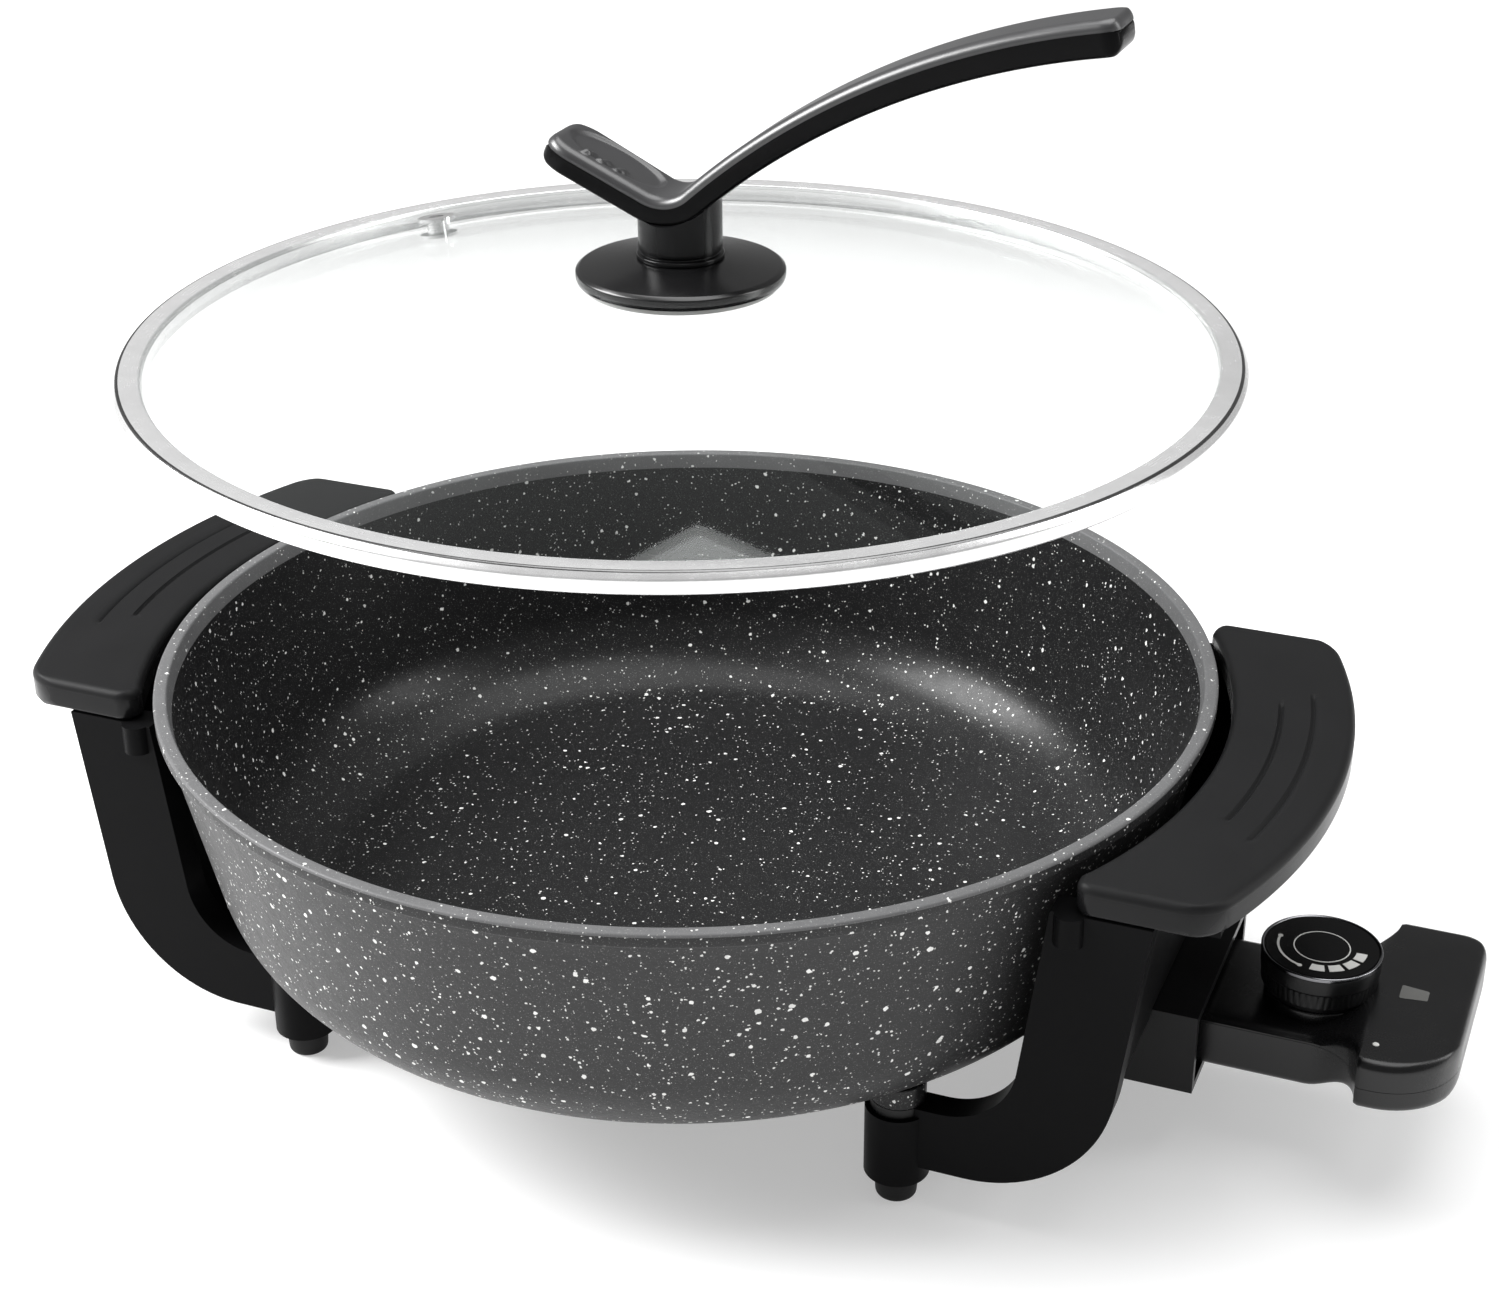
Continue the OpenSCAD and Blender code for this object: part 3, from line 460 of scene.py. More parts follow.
def finish(slot):
    """The material of one slot of the record, made once."""
    look = bpy.context.scene.skillet_colours
    if slot not in FINISHES:
        black, satin = rgb(look.black), rgb(look.satin)
        makers = {
            "stone_coating": lambda: stone(slot, rgb(look.stone), rgb(look.fleck), 1.0, 0.13 * MM, 0.42),
            "stone_inside": lambda: stone(slot, rgb(look.stone_inside), rgb(look.fleck), 0.8, 0.03 * MM, 0.33),
            "stone_rim": lambda: stone(slot, rgb(look.stone_rim), rgb(look.fleck), 0.75, 0.05 * MM, 0.45),
            "element_sheath": lambda: metal(slot, (0.3, 0.27, 0.24), 0.5, grain=0.02 * MM),
            "plated_metal": lambda: metal(slot, (0.72, 0.7, 0.66), 0.25),
            "ceramic_bead": lambda: baked(slot, (0.85, 0.83, 0.76)),
            "carrier_ceramic": lambda: baked(slot, (0.82, 0.8, 0.73)),
            "gasket_silicone": lambda: baked(slot, (0.42, 0.42, 0.41), 0.55),
            "socket_plastic": lambda: moulded(slot, black, 0.32, shine=0.2),
            "grip_plastic": lambda: moulded(
                slot, satin, 0.5, 0.03 * MM, edge=(GRIP_HIGH.z - 2.4 * MM, 0.25), shine=0.15
            ),
            "leg_plastic": lambda: moulded(slot, black, 0.4, shine=0.04),
            "probe_plastic": lambda: moulded(slot, black, 0.26, 0.02 * MM, shine=0.4),
            "knob_plastic": lambda: moulded(slot, black, 0.3),
            "face_plastic": lambda: moulded(slot, tuple(c * 0.6 for c in black), 0.22, shine=0.12),
            "flange_plastic": lambda: moulded(slot, black, 0.24, 0.006 * MM, shine=0.6),
            "stem_plastic": lambda: moulded(slot, black, 0.2, 0.008 * MM, shine=0.16),
            "handle_plastic": lambda: moulded(slot, tuple(c * 0.8 for c in black), 0.2, 0.004 * MM, shine=0.06),
            # satin made 3.6 times lighter: painted reflection of the overhead softbox on the handle's upper
            # face
            "cap_plastic": lambda: moulded(slot, tuple(c * 3.6 for c in satin), 0.34, 0.012 * MM, shine=0.8),
            "foot_rubber": lambda: moulded(slot, tuple(c * 0.8 for c in black), 0.6, 0.05 * MM),
            "gland_rubber": lambda: moulded(slot, black, 0.6, 0.04 * MM),
            "rim_steel": lambda: metal(slot, rgb(look.steel), 0.24, lines=True, grain=0.004 * MM, part=0.75),
            # darker steel that paints dark reflection lines on the lid band's rolled corners
            "rim_shade": lambda: metal(slot, (0.16, 0.16, 0.16), 0.25, lines=True, grain=0.004 * MM),
            "vent_steel": lambda: metal(slot, rgb(look.steel), 0.2),
            "screw_steel": lambda: metal(slot, (0.6, 0.6, 0.58), 0.3),
            "spacer_steel": lambda: metal(slot, (0.03, 0.03, 0.03), 0.45),
            "sensor_steel": lambda: metal(slot, (0.66, 0.65, 0.63), 0.28),
            "spindle_steel": lambda: metal(slot, (0.6, 0.6, 0.6), 0.25),
            "ring_metal": lambda: metal(slot, (0.2, 0.2, 0.21), 0.18),
            "contact_brass": lambda: metal(slot, (0.72, 0.52, 0.24), 0.3),
            "bimetal": lambda: metal(slot, (0.6, 0.44, 0.3), 0.35),
            "lens_plastic": lambda: moulded(slot, (0.13, 0.13, 0.125), 0.2, 0.004 * MM),
            "lamp_glass": lambda: glow(slot, (0.85, 0.3, 0.06)),
            "clear_glass": lambda: clear(slot, (0.9, 0.93, 0.92), 0.012),
            "marks": lambda: moulded(slot, (0.62, 0.62, 0.6), 0.5, 0.004 * MM),
        }
        FINISHES[slot] = makers[slot]()
    return FINISHES[slot]


# ---------------------------------------------------------------- settings


def length(name, text, value):
    return bpy.props.FloatProperty(
        name=name, description=text, default=value, min=0.0, unit="LENGTH", subtype="DISTANCE", precision=4
    )


def colour(name, text, value):
    return bpy.props.FloatVectorProperty(
        name=name, description=text, default=value, min=0.0, max=1.0, size=3, subtype="COLOR"
    )


def degrees(name, text, value):
    return bpy.props.FloatProperty(
        name=name, description=text, default=math.radians(value), unit="ROTATION", subtype="ANGLE"
    )


class SkilletColours(bpy.types.PropertyGroup):
    stone: colour("Coat", "Base colour of the speckled coat outside", (0.022, 0.022, 0.0226))
    # this colour also darkens the lug and bosses under the pan as painted shade
    stone_inside: colour("Inside coat", "Base colour of the coat inside", (0.01, 0.01, 0.0105))
    stone_rim: colour("Rim coat", "Base colour of the coat on the rim", (0.12, 0.12, 0.122))
    fleck: colour("Flecks", "Colour of the pale flecks", (0.9, 0.9, 0.88))
    black: colour("Black plastic", "Gloss and leg plastic", (0.005, 0.005, 0.0053))
    # the handle's upper face uses this colour 3.6 times lighter as a painted reflection
    satin: colour("Satin plastic", "Grips and the handle's upper face", (0.008, 0.008, 0.0084))
    steel: colour("Lid steel", "The lid's band and vent", (0.92, 0.92, 0.92))


class PanSizes(bpy.types.PropertyGroup):
    base_z: length("Base height", "Height of the base above the table", 34 * MM)
    floor_t: length("Floor", "Thickness of the floor", 7 * MM)
    rim_t: length("Rim width", "Width of the rim's flat top", 4 * MM)
    corner: length("Outer curve", "Radius of the curve between wall and base", 37 * MM)
    inner_corner: length("Inner curve", "Radius of the curve between wall and floor", 31 * MM)
    collar: length("Collar", "Height of the collar round the rim", 4.5 * MM)
    step: length("Collar step", "Step from the collar to the wall", 0.8 * MM)
    draft: degrees("Draft", "Lean of the wall", 12.4)


class GripSizes(bpy.types.PropertyGroup):
    inner_r: length("Inner radius", "Radius of a grip's inner side", RIM_R + 4.5 * MM)
    corner: length("Outer corner", "Radius of the outer corners in plan", 14 * MM)
    inner_corner: length("Inner corner", "Radius of the inner corners in plan", 5 * MM)
    edge: length("Edge", "Radius of the edges", 2.6 * MM)
    groove_w: length("Groove width", "Width of a groove", 1.7 * MM)
    groove_d: length("Groove depth", "Depth of a groove", 1.0 * MM)


class LidSizes(bpy.types.PropertyGroup):
    band: length("Band width", "Width of the steel band", 8.5 * MM)
    glass_t: length("Glass", "Thickness of the glass", 4 * MM)
    edge_inset: length("Glass inset", "From the band's outside in to the glass's edge", 3 * MM)
    glass_up: length("Glass rise", "From the band's underside up to the glass's outer edge", 5 * MM)
    hole: length("Hole", "Radius of the hole for the handle's screw", 3.5 * MM)


class HandleSizes(bpy.types.PropertyGroup):
    bend: length("V radius", "Radius of the V at the handle's middle line", 14 * MM)
    bend_x: bpy.props.FloatProperty(
        name="V place", description="Middle of the V from the axis", default=-2 * MM, unit="LENGTH"
    )
    arm_r: length("Arm radius", "Radius of the long arm's curve", 230 * MM)
    width: length("Width", "Width at the V", 21 * MM)
    end_width: length("End width", "Width at the end of the long arm", 20 * MM)
    thick: length("Thickness", "Thickness of the handle", 8 * MM)
    cap: length("Upper layer", "Thickness of its upper layer", 3 * MM)
    swell: length("Swell", "Extra depth of the lower layer at the long arm's end", 1.6 * MM)
    short: length("Short arm", "Length of the short arm", 33 * MM)
    long_rise: degrees("Long rise", "Slope of the long arm at the V", 42)
    end_rise: degrees("End rise", "Slope of the long arm at its end", 9)
    short_rise: degrees("Short rise", "Slope of the short arm", 25)


class ProbeSizes(bpy.types.PropertyGroup):
    neck_w: length("Neck width", "Width of the neck", 46 * MM)
    head_w: length("Head width", "Width of the head", 78 * MM)
    head_len: length("Head length", "Length of the head", 26 * MM)
    neck_top: length("Neck top", "Height of the neck's top", 43 * MM)
    head_z: length("Head underside", "Height of the head's underside", 34 * MM)
    near_corner: length("Near corner", "Radius of the head's outer corner in front", 22 * MM)
    far_corner: length("Far corner", "Radius of the head's outer corner behind", 8 * MM)
    flare: length("Flare", "Radius of the curves between neck and head", 16 * MM)
    edge: length("Edge", "Radius of the head's top edges", 3 * MM)
    ribs: bpy.props.IntProperty(name="Ribs", description="Number of ribs round the dial", default=56)


class StudioSettings(bpy.types.PropertyGroup):
    lens: bpy.props.FloatProperty(
        name="Lens", description="Focal length of the camera", default=62.3, unit="CAMERA"
    )
    eye: bpy.props.FloatVectorProperty(
        name="Eye", description="Camera place from the pan's axis", default=(0.28308, -0.6491, 0.475), size=3,
        subtype="TRANSLATION", unit="LENGTH",
    )
    turn: degrees("Turn", "Camera's turn about Z", 22.02)
    tilt: degrees("Tilt", "Camera's downward tilt", 26.76)
    roll: degrees("Roll", "Camera's roll", -0.3)
    floor: colour("Floor", "Colour of the floor", (0.7, 0.7, 0.7))
    glow: bpy.props.FloatProperty(name="Glow", description="Light given off by the floor", default=0.4, min=0.0)


# ---------------------------------------------------------------- pieces


def bowl_line(radius, top, low, corner, draft):
    """Half section of a bowl from its middle out: flat, a quarter-like arc, then a straight leaning wall."""
    centre = radius - (top - low - corner) * math.tan(draft) - corner / math.cos(draft)
    angle = np.linspace(-math.pi / 2, -draft, 28)
    arc = np.stack([centre + corner * np.cos(angle), low + corner + corner * np.sin(angle)], -1)
    flat = np.stack([np.linspace(0, centre, 12, endpoint=False), np.full(12, low)], -1)
    wall = arc[-1] + (np.array([radius, top]) - arc[-1]) * np.linspace(0, 1, 12)[1:, None]
    return np.concatenate([flat, arc, wall])


def make_pan(scene):
    """Outside bowl line, rounded collar and rim, then the inside bowl line back to the middle, all turned."""
    s = scene.skillet_pan
    neck = RIM_R - s.step
    outer = bowl_line(neck, RIM_Z, s.base_z, s.corner, s.draft)
    outer = outer[outer[:, 1] < RIM_Z - s.collar - 1.5 * MM]
    inner = bowl_line(RIM_R - s.rim_t, RIM_Z, s.base_z + s.floor_t, s.inner_corner, s.draft)[::-1]
    inner = inner[inner[:, 1] < RIM_Z - 2 * MM]
    lean = math.tan(s.draft)
    at_step = neck - s.collar * lean
    rim = rounded(
        [
            outer[-1],
            (at_step, RIM_Z - s.collar - 0.4 * MM),
            (RIM_R, RIM_Z - s.collar + 0.6 * MM),
            (RIM_R, RIM_Z),
            (RIM_R - s.rim_t, RIM_Z),
            inner[0],
        ],
        [0, 0.6 * MM, 0.7 * MM, 0.9 * MM, 0.8 * MM, 0],
        4,
        closed=False,
    )[1:-1]
    profile = np.concatenate([outer, rim, inner])
    kind = np.concatenate([np.zeros(len(outer), int), np.full(len(rim), 2), np.ones(len(inner), int)])
    kind[len(outer) : len(outer) + 10] = 0
    looks = [finish("stone_coating"), finish("stone_inside"), finish("stone_rim")]
    piece("pan_body", [turned(profile, 256)], "skillet", looks, ["pan"], rows=kind)
    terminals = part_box("socket_housing")[0].x
    lug_length, lug_half = 50 * MM, 32 * MM
    lug = box_outline(terminals - lug_length, terminals, -lug_half, lug_half, 2 * MM)
    blocks = [slab(lug, PAN_LOW.z, s.base_z + s.floor_t - 0.2 * MM, MM, MM)]
    boss_x, boss_y, boss_r, boss_edge = 97 * MM, 79 * MM, 8 * MM, 0.5 * MM
    boss_low, boss_high = s.base_z - 0.1 * MM, s.base_z + s.floor_t - 0.3 * MM
    for sx in (-1, 1):
        for sy in (-1, 1):
            ring = rounded_circle(boss_r, AXIS_X + sx * boss_x, sy * boss_y)
            blocks.append(slab(ring, boss_low, boss_high, boss_edge, boss_edge))
    # the lug and bosses take the darker inside coat as painted shade, since they sit in shadow under the pan
    piece("pan_lug_and_bosses", blocks, "skillet", looks[1:2])


def rounded_circle(radius, x, y, steps=48):
    angle = np.linspace(0, TURN, steps, endpoint=False)
    return np.stack([x + radius * np.cos(angle), y + radius * np.sin(angle)], -1)


def grip_surface(s, side):
    """Cross sections along y, closer together at the ends. Each runs between two radii from the pan's
    axis, so grooves follow circles. The radii close in at the ends along corner arcs, and every edge
    rolls over by a quarter circle."""
    half, top, low = GRIP_HIGH.y, GRIP_HIGH.z, GRIP_LOW.z
    outer_r = GRIP_HIGH.x - AXIS_X
    y = np.concatenate(
        [
            half * np.sin(np.linspace(-1, -0.62, 22) * math.pi / 2)[:-1],
            np.linspace(-0.826, 0.826, 121) * half,
            half * np.sin(np.linspace(0.62, 1, 22) * math.pi / 2)[1:],
        ]
    )
    away = half - np.abs(y)
    x_in = np.sqrt(s.inner_r**2 - y**2)
    hub = math.sqrt((outer_r - s.corner) ** 2 - (half - s.corner) ** 2)
    x_out = np.sqrt(outer_r**2 - y**2)
    past = np.abs(y) > (half - s.corner) * outer_r / (outer_r - s.corner)
    shy = np.clip(s.corner - away, 0, s.corner)
    x_out = np.where(past, hub + np.sqrt(s.corner**2 - shy**2), x_out)
    hub = math.sqrt((s.inner_r + s.inner_corner) ** 2 - (half - s.inner_corner) ** 2)
    past = np.abs(y) > (half - s.inner_corner) * s.inner_r / (s.inner_r + s.inner_corner)
    shy = np.clip(s.inner_corner - away, 0, s.inner_corner)
    x_in = np.where(past, hub - np.sqrt(s.inner_corner**2 - shy**2), x_in)
    grooves = np.array([outer_r - 12 * MM, outer_r - 21.5 * MM])
    marks = np.concatenate([g + np.array([-1.2, -0.8, -0.5, -0.2, 0.2, 0.5, 0.8, 1.2]) * MM for g in grooves])
    share = np.unique(np.concatenate([np.linspace(0.1, 0.9, 14), (marks - s.inner_r) / (outer_r - s.inner_r)]))
    quarter = np.linspace(0, math.pi / 2, 7)
    width = x_out - x_in
    roll = np.minimum(s.edge, width * 0.45)[:, None]
    in_edge = x_in[:, None] + roll * (1 - np.cos(quarter))
    out_edge = x_out[:, None] - roll * (1 - np.sin(quarter))
    across = x_in[:, None] + roll + (width[:, None] - 2 * roll) * share
    end = np.clip(away / s.edge, 0, 1)
    drop = (s.edge * (1 - np.sqrt(1 - (1 - end) ** 2)))[:, None]
    radius = np.hypot(across, y[:, None])
    reach = np.radians([14.0, 12.0])
    angle = np.abs(np.arctan2(y[:, None], across))
    dip = sum(
        np.clip(1 - np.abs(radius - g) / (0.5 * s.groove_w), 0, 1) ** 0.5 * np.clip((a - angle) / 0.012, 0, 1)
        for g, a in zip(grooves, reach)
    )
    upper = top - drop - s.groove_d * dip
    in_z = top - drop - roll * (1 - np.sin(quarter))
    out_z = top - drop - roll * (1 - np.cos(quarter))
    low_roll, chamfer = 0.6, 1.2 * MM
    low_z = low + drop * low_roll
    x_in, x_out = x_in[:, None], x_out[:, None]
    xs = np.concatenate([x_in, in_edge, across, out_edge, x_out, x_out - chamfer, x_in + chamfer], 1)
    zs = np.concatenate([low_z + chamfer, in_z, upper, out_z, low_z + chamfer, low_z, low_z], 1)
    points = np.stack([side * xs + AXIS_X, np.broadcast_to(y[:, None], xs.shape), zs], -1)
    return points, False, True


def make_grips(scene):
    s = scene.skillet_grips
    for node, side in (("left_grip", -1), ("right_grip", 1)):
        looks = [finish("grip_plastic")]
        piece(node + "_moulding", [grip_surface(s, side)], "skillet", looks, [node])


def make_legs(scene):
    for node in ("left_leg_frame", "right_leg_frame"):
        softened(node, node + "_moulding", finish("leg_plastic"), 0.9 * MM)
    softened("socket_housing", "socket_moulding", finish("socket_plastic"), 0.8 * MM)
    profile_r = (FOOT_HIGH.x - FOOT_LOW.x) / 2
    high = FOOT_HIGH.z
    profile = rounded(
        [
            (0, 0),
            (profile_r - 0.6 * MM, 0),
            (profile_r, 8.4 * MM),
            (4.5 * MM, 8.5 * MM),
            (4.5 * MM, high),
            (0, high),
        ],
        [0, 1.4 * MM, 0.3 * MM, 0, 0.4 * MM, 0],
        5,
        closed=False,
    )
    for node in ("foot_front_left", "foot_front_right", "foot_rear_left", "foot_rear_right"):
        low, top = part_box(node)
        grid = turned(profile, 48, (low.x + top.x) / 2, (low.y + top.y) / 2)
        piece(node + "_tip", [grid], "skillet", [finish("foot_rubber")], [node])


def dome(scene):
    """Radius of the glass's outer sphere and the height of its centre, from its edge and its top."""
    s = scene.skillet_lid
    edge_r = LID_HIGH.x - AXIS_X - s.edge_inset
    rise = GLASS_HIGH.z - (LID_LOW.z + s.glass_up)
    radius = (edge_r**2 + rise**2) / (2 * rise)
    return edge_r, radius, GLASS_HIGH.z - radius


def make_lid(scene):
    """Glass: two arcs of one centre, closed at the hole and at a rounded edge. Band: a rolled section round it,
    whose corners 5 and 7 are darker steel, painted as dark reflection lines."""
    s = scene.skillet_lid
    edge_r, radius, centre = dome(scene)
    out = np.linspace(s.hole, edge_r - 1.5 * MM, 60)
    upper = np.stack([out, centre + np.sqrt(radius**2 - out**2)], -1)
    below = np.stack([out, centre + np.sqrt((radius - s.glass_t) ** 2 - out**2)], -1)[::-1]
    lip = [(edge_r, upper[-1, 1] - 1.2 * MM), (edge_r, below[0, 1] + MM)]
    piece(
        "lid_glass_sheet", [turned(np.concatenate([upper, lip, below]), 192)], "lid",
        [finish("clear_glass")], ["lid_glass"],
    )
    outer = LID_HIGH.x - AXIS_X
    low, high = LID_LOW.z, LID_HIGH.z
    section = rounded(
        [
            (outer - s.band, low + 0.3 * MM),
            (outer - 4.2 * MM, low),
            (outer - 0.6 * MM, low + 0.2 * MM),
            (outer, low + 2.4 * MM),
            (outer, high - 1.8 * MM),
            (outer - 1.6 * MM, high),
            (outer - s.band + 0.6 * MM, high - 0.2 * MM),
            (outer - s.band, high - 1.4 * MM),
        ],
        [0.25 * MM, 2 * MM, 1.0 * MM, 1.6 * MM, 1.2 * MM, 1.2 * MM, 0.8 * MM, 0.25 * MM],
        5,
    )
    arc_points = 6
    corner, step = np.divmod(np.arange(len(section)), arc_points)
    # corners 5 and 7 take the darker rim_shade steel: painted dark reflection lines on the band's rolled edges
    shade = (np.isin(corner, (5, 7)) & (step < arc_points - 1)).astype(int)
    steels = [finish("rim_steel"), finish("rim_shade")]
    piece("lid_band", [turned(section, 256)], "lid", steels, ["lid_rim"], rows=shade)


def handle_path(s):
    """The handle's middle line in the XZ plane: a straight short arm, the V's arc and the long arm's arc,
    with points drawn closer near both ends. Returns the points, the upward normals and the length so far."""
    vee_z = BODY_LOW.z + s.thick / 2 + s.bend
    vee = np.linspace(-s.short_rise, s.long_rise, 60)
    foot = np.array([s.bend_x, vee_z])
    low_line = foot + s.bend * np.stack([np.sin(vee), -np.cos(vee)], -1)
    back = np.array([-math.cos(s.short_rise), math.sin(s.short_rise)])
    short = low_line[0] + back * np.linspace(s.short, 0, 80, endpoint=False)[:, None]
    slope = np.linspace(s.long_rise, s.end_rise, 160)[1:]
    hub = low_line[-1] + s.arm_r * np.array([math.sin(s.long_rise), -math.cos(s.long_rise)])
    arm = hub + s.arm_r * np.stack([-np.sin(slope), np.cos(slope)], -1)
    line = np.concatenate([short, low_line, arm])
    tilt = np.concatenate([np.full(len(short), -s.short_rise), vee, slope])
    run = np.concatenate([[0], np.cumsum(np.linalg.norm(np.diff(line, axis=0), axis=1))])
    near = 6 * MM * (1 - np.cos(np.linspace(0, math.pi / 2, 20, endpoint=False)))
    spots = np.concatenate([near, np.linspace(6 * MM, run[-1] - 6 * MM, 260), run[-1] - near[::-1]])
    x, z, tilt = (np.interp(spots, run, v) for v in (line[:, 0], line[:, 1], tilt))
    flat = np.zeros(len(x))
    return np.stack([AXIS_X + x, flat, z], -1), np.stack([-np.sin(tilt), flat, np.cos(tilt)], -1), spots


def handle_widths(s, line, run):
    """Half width: straight between its three widths, closed in by a round tip at the short end and by corner
    arcs at the long end."""
    x = line[:, 0] - AXIS_X
    half = np.interp(x, [x[0], s.bend_x, x[-1]], [(s.width + 3 * MM) / 2, s.width / 2, s.end_width / 2])
    tip = 9 * MM
    near = np.clip(1 - run / tip, 0, 1)
    half = half - tip * (1 - np.sqrt(1 - near**2)) * 0.8
    corner = 5 * MM
    end = np.clip(1 - (run[-1] - run) / corner, 0, 1)
    return half - corner * (1 - np.sqrt(1 - end**2)) * 0.9


def fade(run, first, last):
    """1 along the handle, falling by a quarter circle over the first and the last stretch."""
    near = np.clip(1 - run / first, 0, 1)
    end = np.clip(1 - (run[-1] - run) / last, 0, 1)
    return np.sqrt(np.clip(1 - near**2, 0.02, 1) * np.clip(1 - end**2, 0.02, 1))[:, None]


def make_handle(scene):
    """Lower body: sides upright, underside rounded. Upper face: a crown whose sides fall by a power
    curve, with a leaf-shaped hollow and three drops raised along its front edge."""
    s = scene.skillet_handle
    line, up, run = handle_path(s)
    half = handle_widths(s, line, run)[:, None]
    split = s.thick / 2 - s.cap
    turn = np.linspace(0, math.pi / 2, 7)
    round_x, round_z = 1.6 * MM, 1.2 * MM
    side = half - round_x * (1 - np.cos(turn))[::-1]
    deep = s.thick / 2 + s.swell * np.clip(run / run[-1] - 0.25, 0, 1)[:, None] / 0.75
    low = (round_z * (1 - np.sin(turn)))[::-1] - deep
    body_fade = fade(run, 3.5 * MM, 2.6 * MM)
    centre = (split - s.thick / 2) / 2
    ring_x = np.concatenate([-half, -side[:, ::-1], side, half], 1)
    ring_z = np.concatenate([split * np.ones_like(half), low[:, ::-1], low, split * np.ones_like(half)], 1)
    ring = np.stack([ring_x, centre + (ring_z - centre) * body_fade], -1)
    looks = [finish("handle_plastic")]
    piece("handle_lower", [carried(line, up, ring)], "lid", looks, ["handle_body"])

    t = np.sin(np.linspace(-1, 1, 61) * math.pi / 2 * 0.985) / math.sin(math.pi / 2 * 0.985)
    wide = (half - 0.35 * MM) * t
    away = (half - 0.35 * MM) * (1 - np.abs(t))
    edge = np.clip(1 - away / (3.6 * MM), 0, 1)
    fall = (s.cap - 0.4 * MM) * (1 - np.sqrt(1 - edge**2.4))
    lap = run[:, None] + 0 * wide
    leaf = np.clip(1 - ((lap - 19 * MM) / (16 * MM)) ** 2 - ((wide - MM) / (8 * MM)) ** 2, 0, 1)
    drops = 0
    for at, across in ((12.5, -5.4), (17.5, -5.0), (22.5, -4.6)):
        off = wide - across * MM
        d = ((lap - at * MM - off * 0.4) / (1.5 * MM)) ** 2 + (off / (2.6 * MM)) ** 2
        drops = drops + 1.2 * MM * np.sqrt(np.clip(1 - d, 0, 1))
    top = s.thick / 2 - fall - 0.9 * MM * np.minimum(leaf * 4, 1) + drops
    cap_fade = fade(run, 3.2 * MM, 1.8 * MM)
    crown = np.stack([wide, split + (top - split) * cap_fade], -1)
    under = np.stack([wide, np.full_like(wide, split - 0.1 * MM)], -1)[:, ::-1]
    piece(
        "handle_upper", [carried(line, up, np.concatenate([crown, under], 1))], "lid",
        [finish("cap_plastic")], ["handle_cap"], sharp=50,
    )
    make_stem(s)


def under_handle(s, x):
    """Height of the handle's underside over x: the V's outer circle, then both arms' straight lines."""
    radius = s.bend + s.thick / 2
    vee_z = BODY_LOW.z + s.thick / 2 + s.bend
    off = x - AXIS_X - s.bend_x
    arc = vee_z - np.sqrt(np.maximum(radius**2 - off**2, 0))

    def arm(away, rise):
        """The straight line that leaves the circle at that slope, over a distance from the V."""
        return vee_z - radius * math.cos(rise) + (away - radius * math.sin(rise)) * math.tan(rise)

    height = np.where(off < -radius * math.sin(s.short_rise), arm(-off, s.short_rise), arc)
    return np.where(off > radius * math.sin(s.long_rise), arm(off, s.long_rise), height)


def make_stem(s):
    radius = (STEM_HIGH.x - STEM_LOW.x) / 2
    low, high = STEM_LOW.z, STEM_HIGH.z
    side = rounded(
        [
            (0, low),
            (radius + 0.5 * MM, low),
            (radius + 0.5 * MM, low + 1.3 * MM),
            (radius - 0.5 * MM, low + 1.6 * MM),
            (radius - 0.5 * MM, low + 2.1 * MM),
            (radius, low + 2.5 * MM),
            (radius, high),
        ],
        [0, 0.2 * MM, 0.4 * MM, 0.1 * MM, 0.1 * MM, 0.3 * MM, 0],
        3,
        closed=False,
    )
    tall = np.stack([np.full(12, radius), np.linspace(low + 3.5 * MM, high + 4 * MM, 12)], -1)
    lid = np.stack([np.linspace(radius, 0, 14), np.full(14, high + 4 * MM)], -1)
    points, wrap_u, wrap_v = turned(np.concatenate([side[:-1], tall, lid]), 96)
    points[..., 2] = np.minimum(points[..., 2], under_handle(s, points[..., 0]) + 0.4 * MM)
    looks = [finish("stem_plastic")]
    piece("handle_post", [(points, wrap_u, wrap_v)], "lid", looks, ["handle_stem"])
    out = FLANGE_HIGH.y
    base, top = FLANGE_LOW.z, FLANGE_HIGH.z
    edge_top = top - 3 * MM
    profile = rounded(
        [
            (0, base),
            (out - 0.4 * MM, base),
            (out, base + 1.2 * MM),
            (out, edge_top - 0.6 * MM),
            (out - 1.2 * MM, edge_top + 0.3 * MM),
            (out * 0.72, edge_top + 1.5 * MM),
            (radius + 1.5 * MM, top - 0.1 * MM),
            (0, top),
        ],
        [0, 0.3 * MM, 0.8 * MM, 0.8 * MM, 1.2 * MM, 12 * MM, 3 * MM, 0],
        5,
        closed=False,
    )
    looks = [finish("flange_plastic")]
    piece("flange_disc", [turned(profile, 160)], "lid", looks, ["handle_flange"])


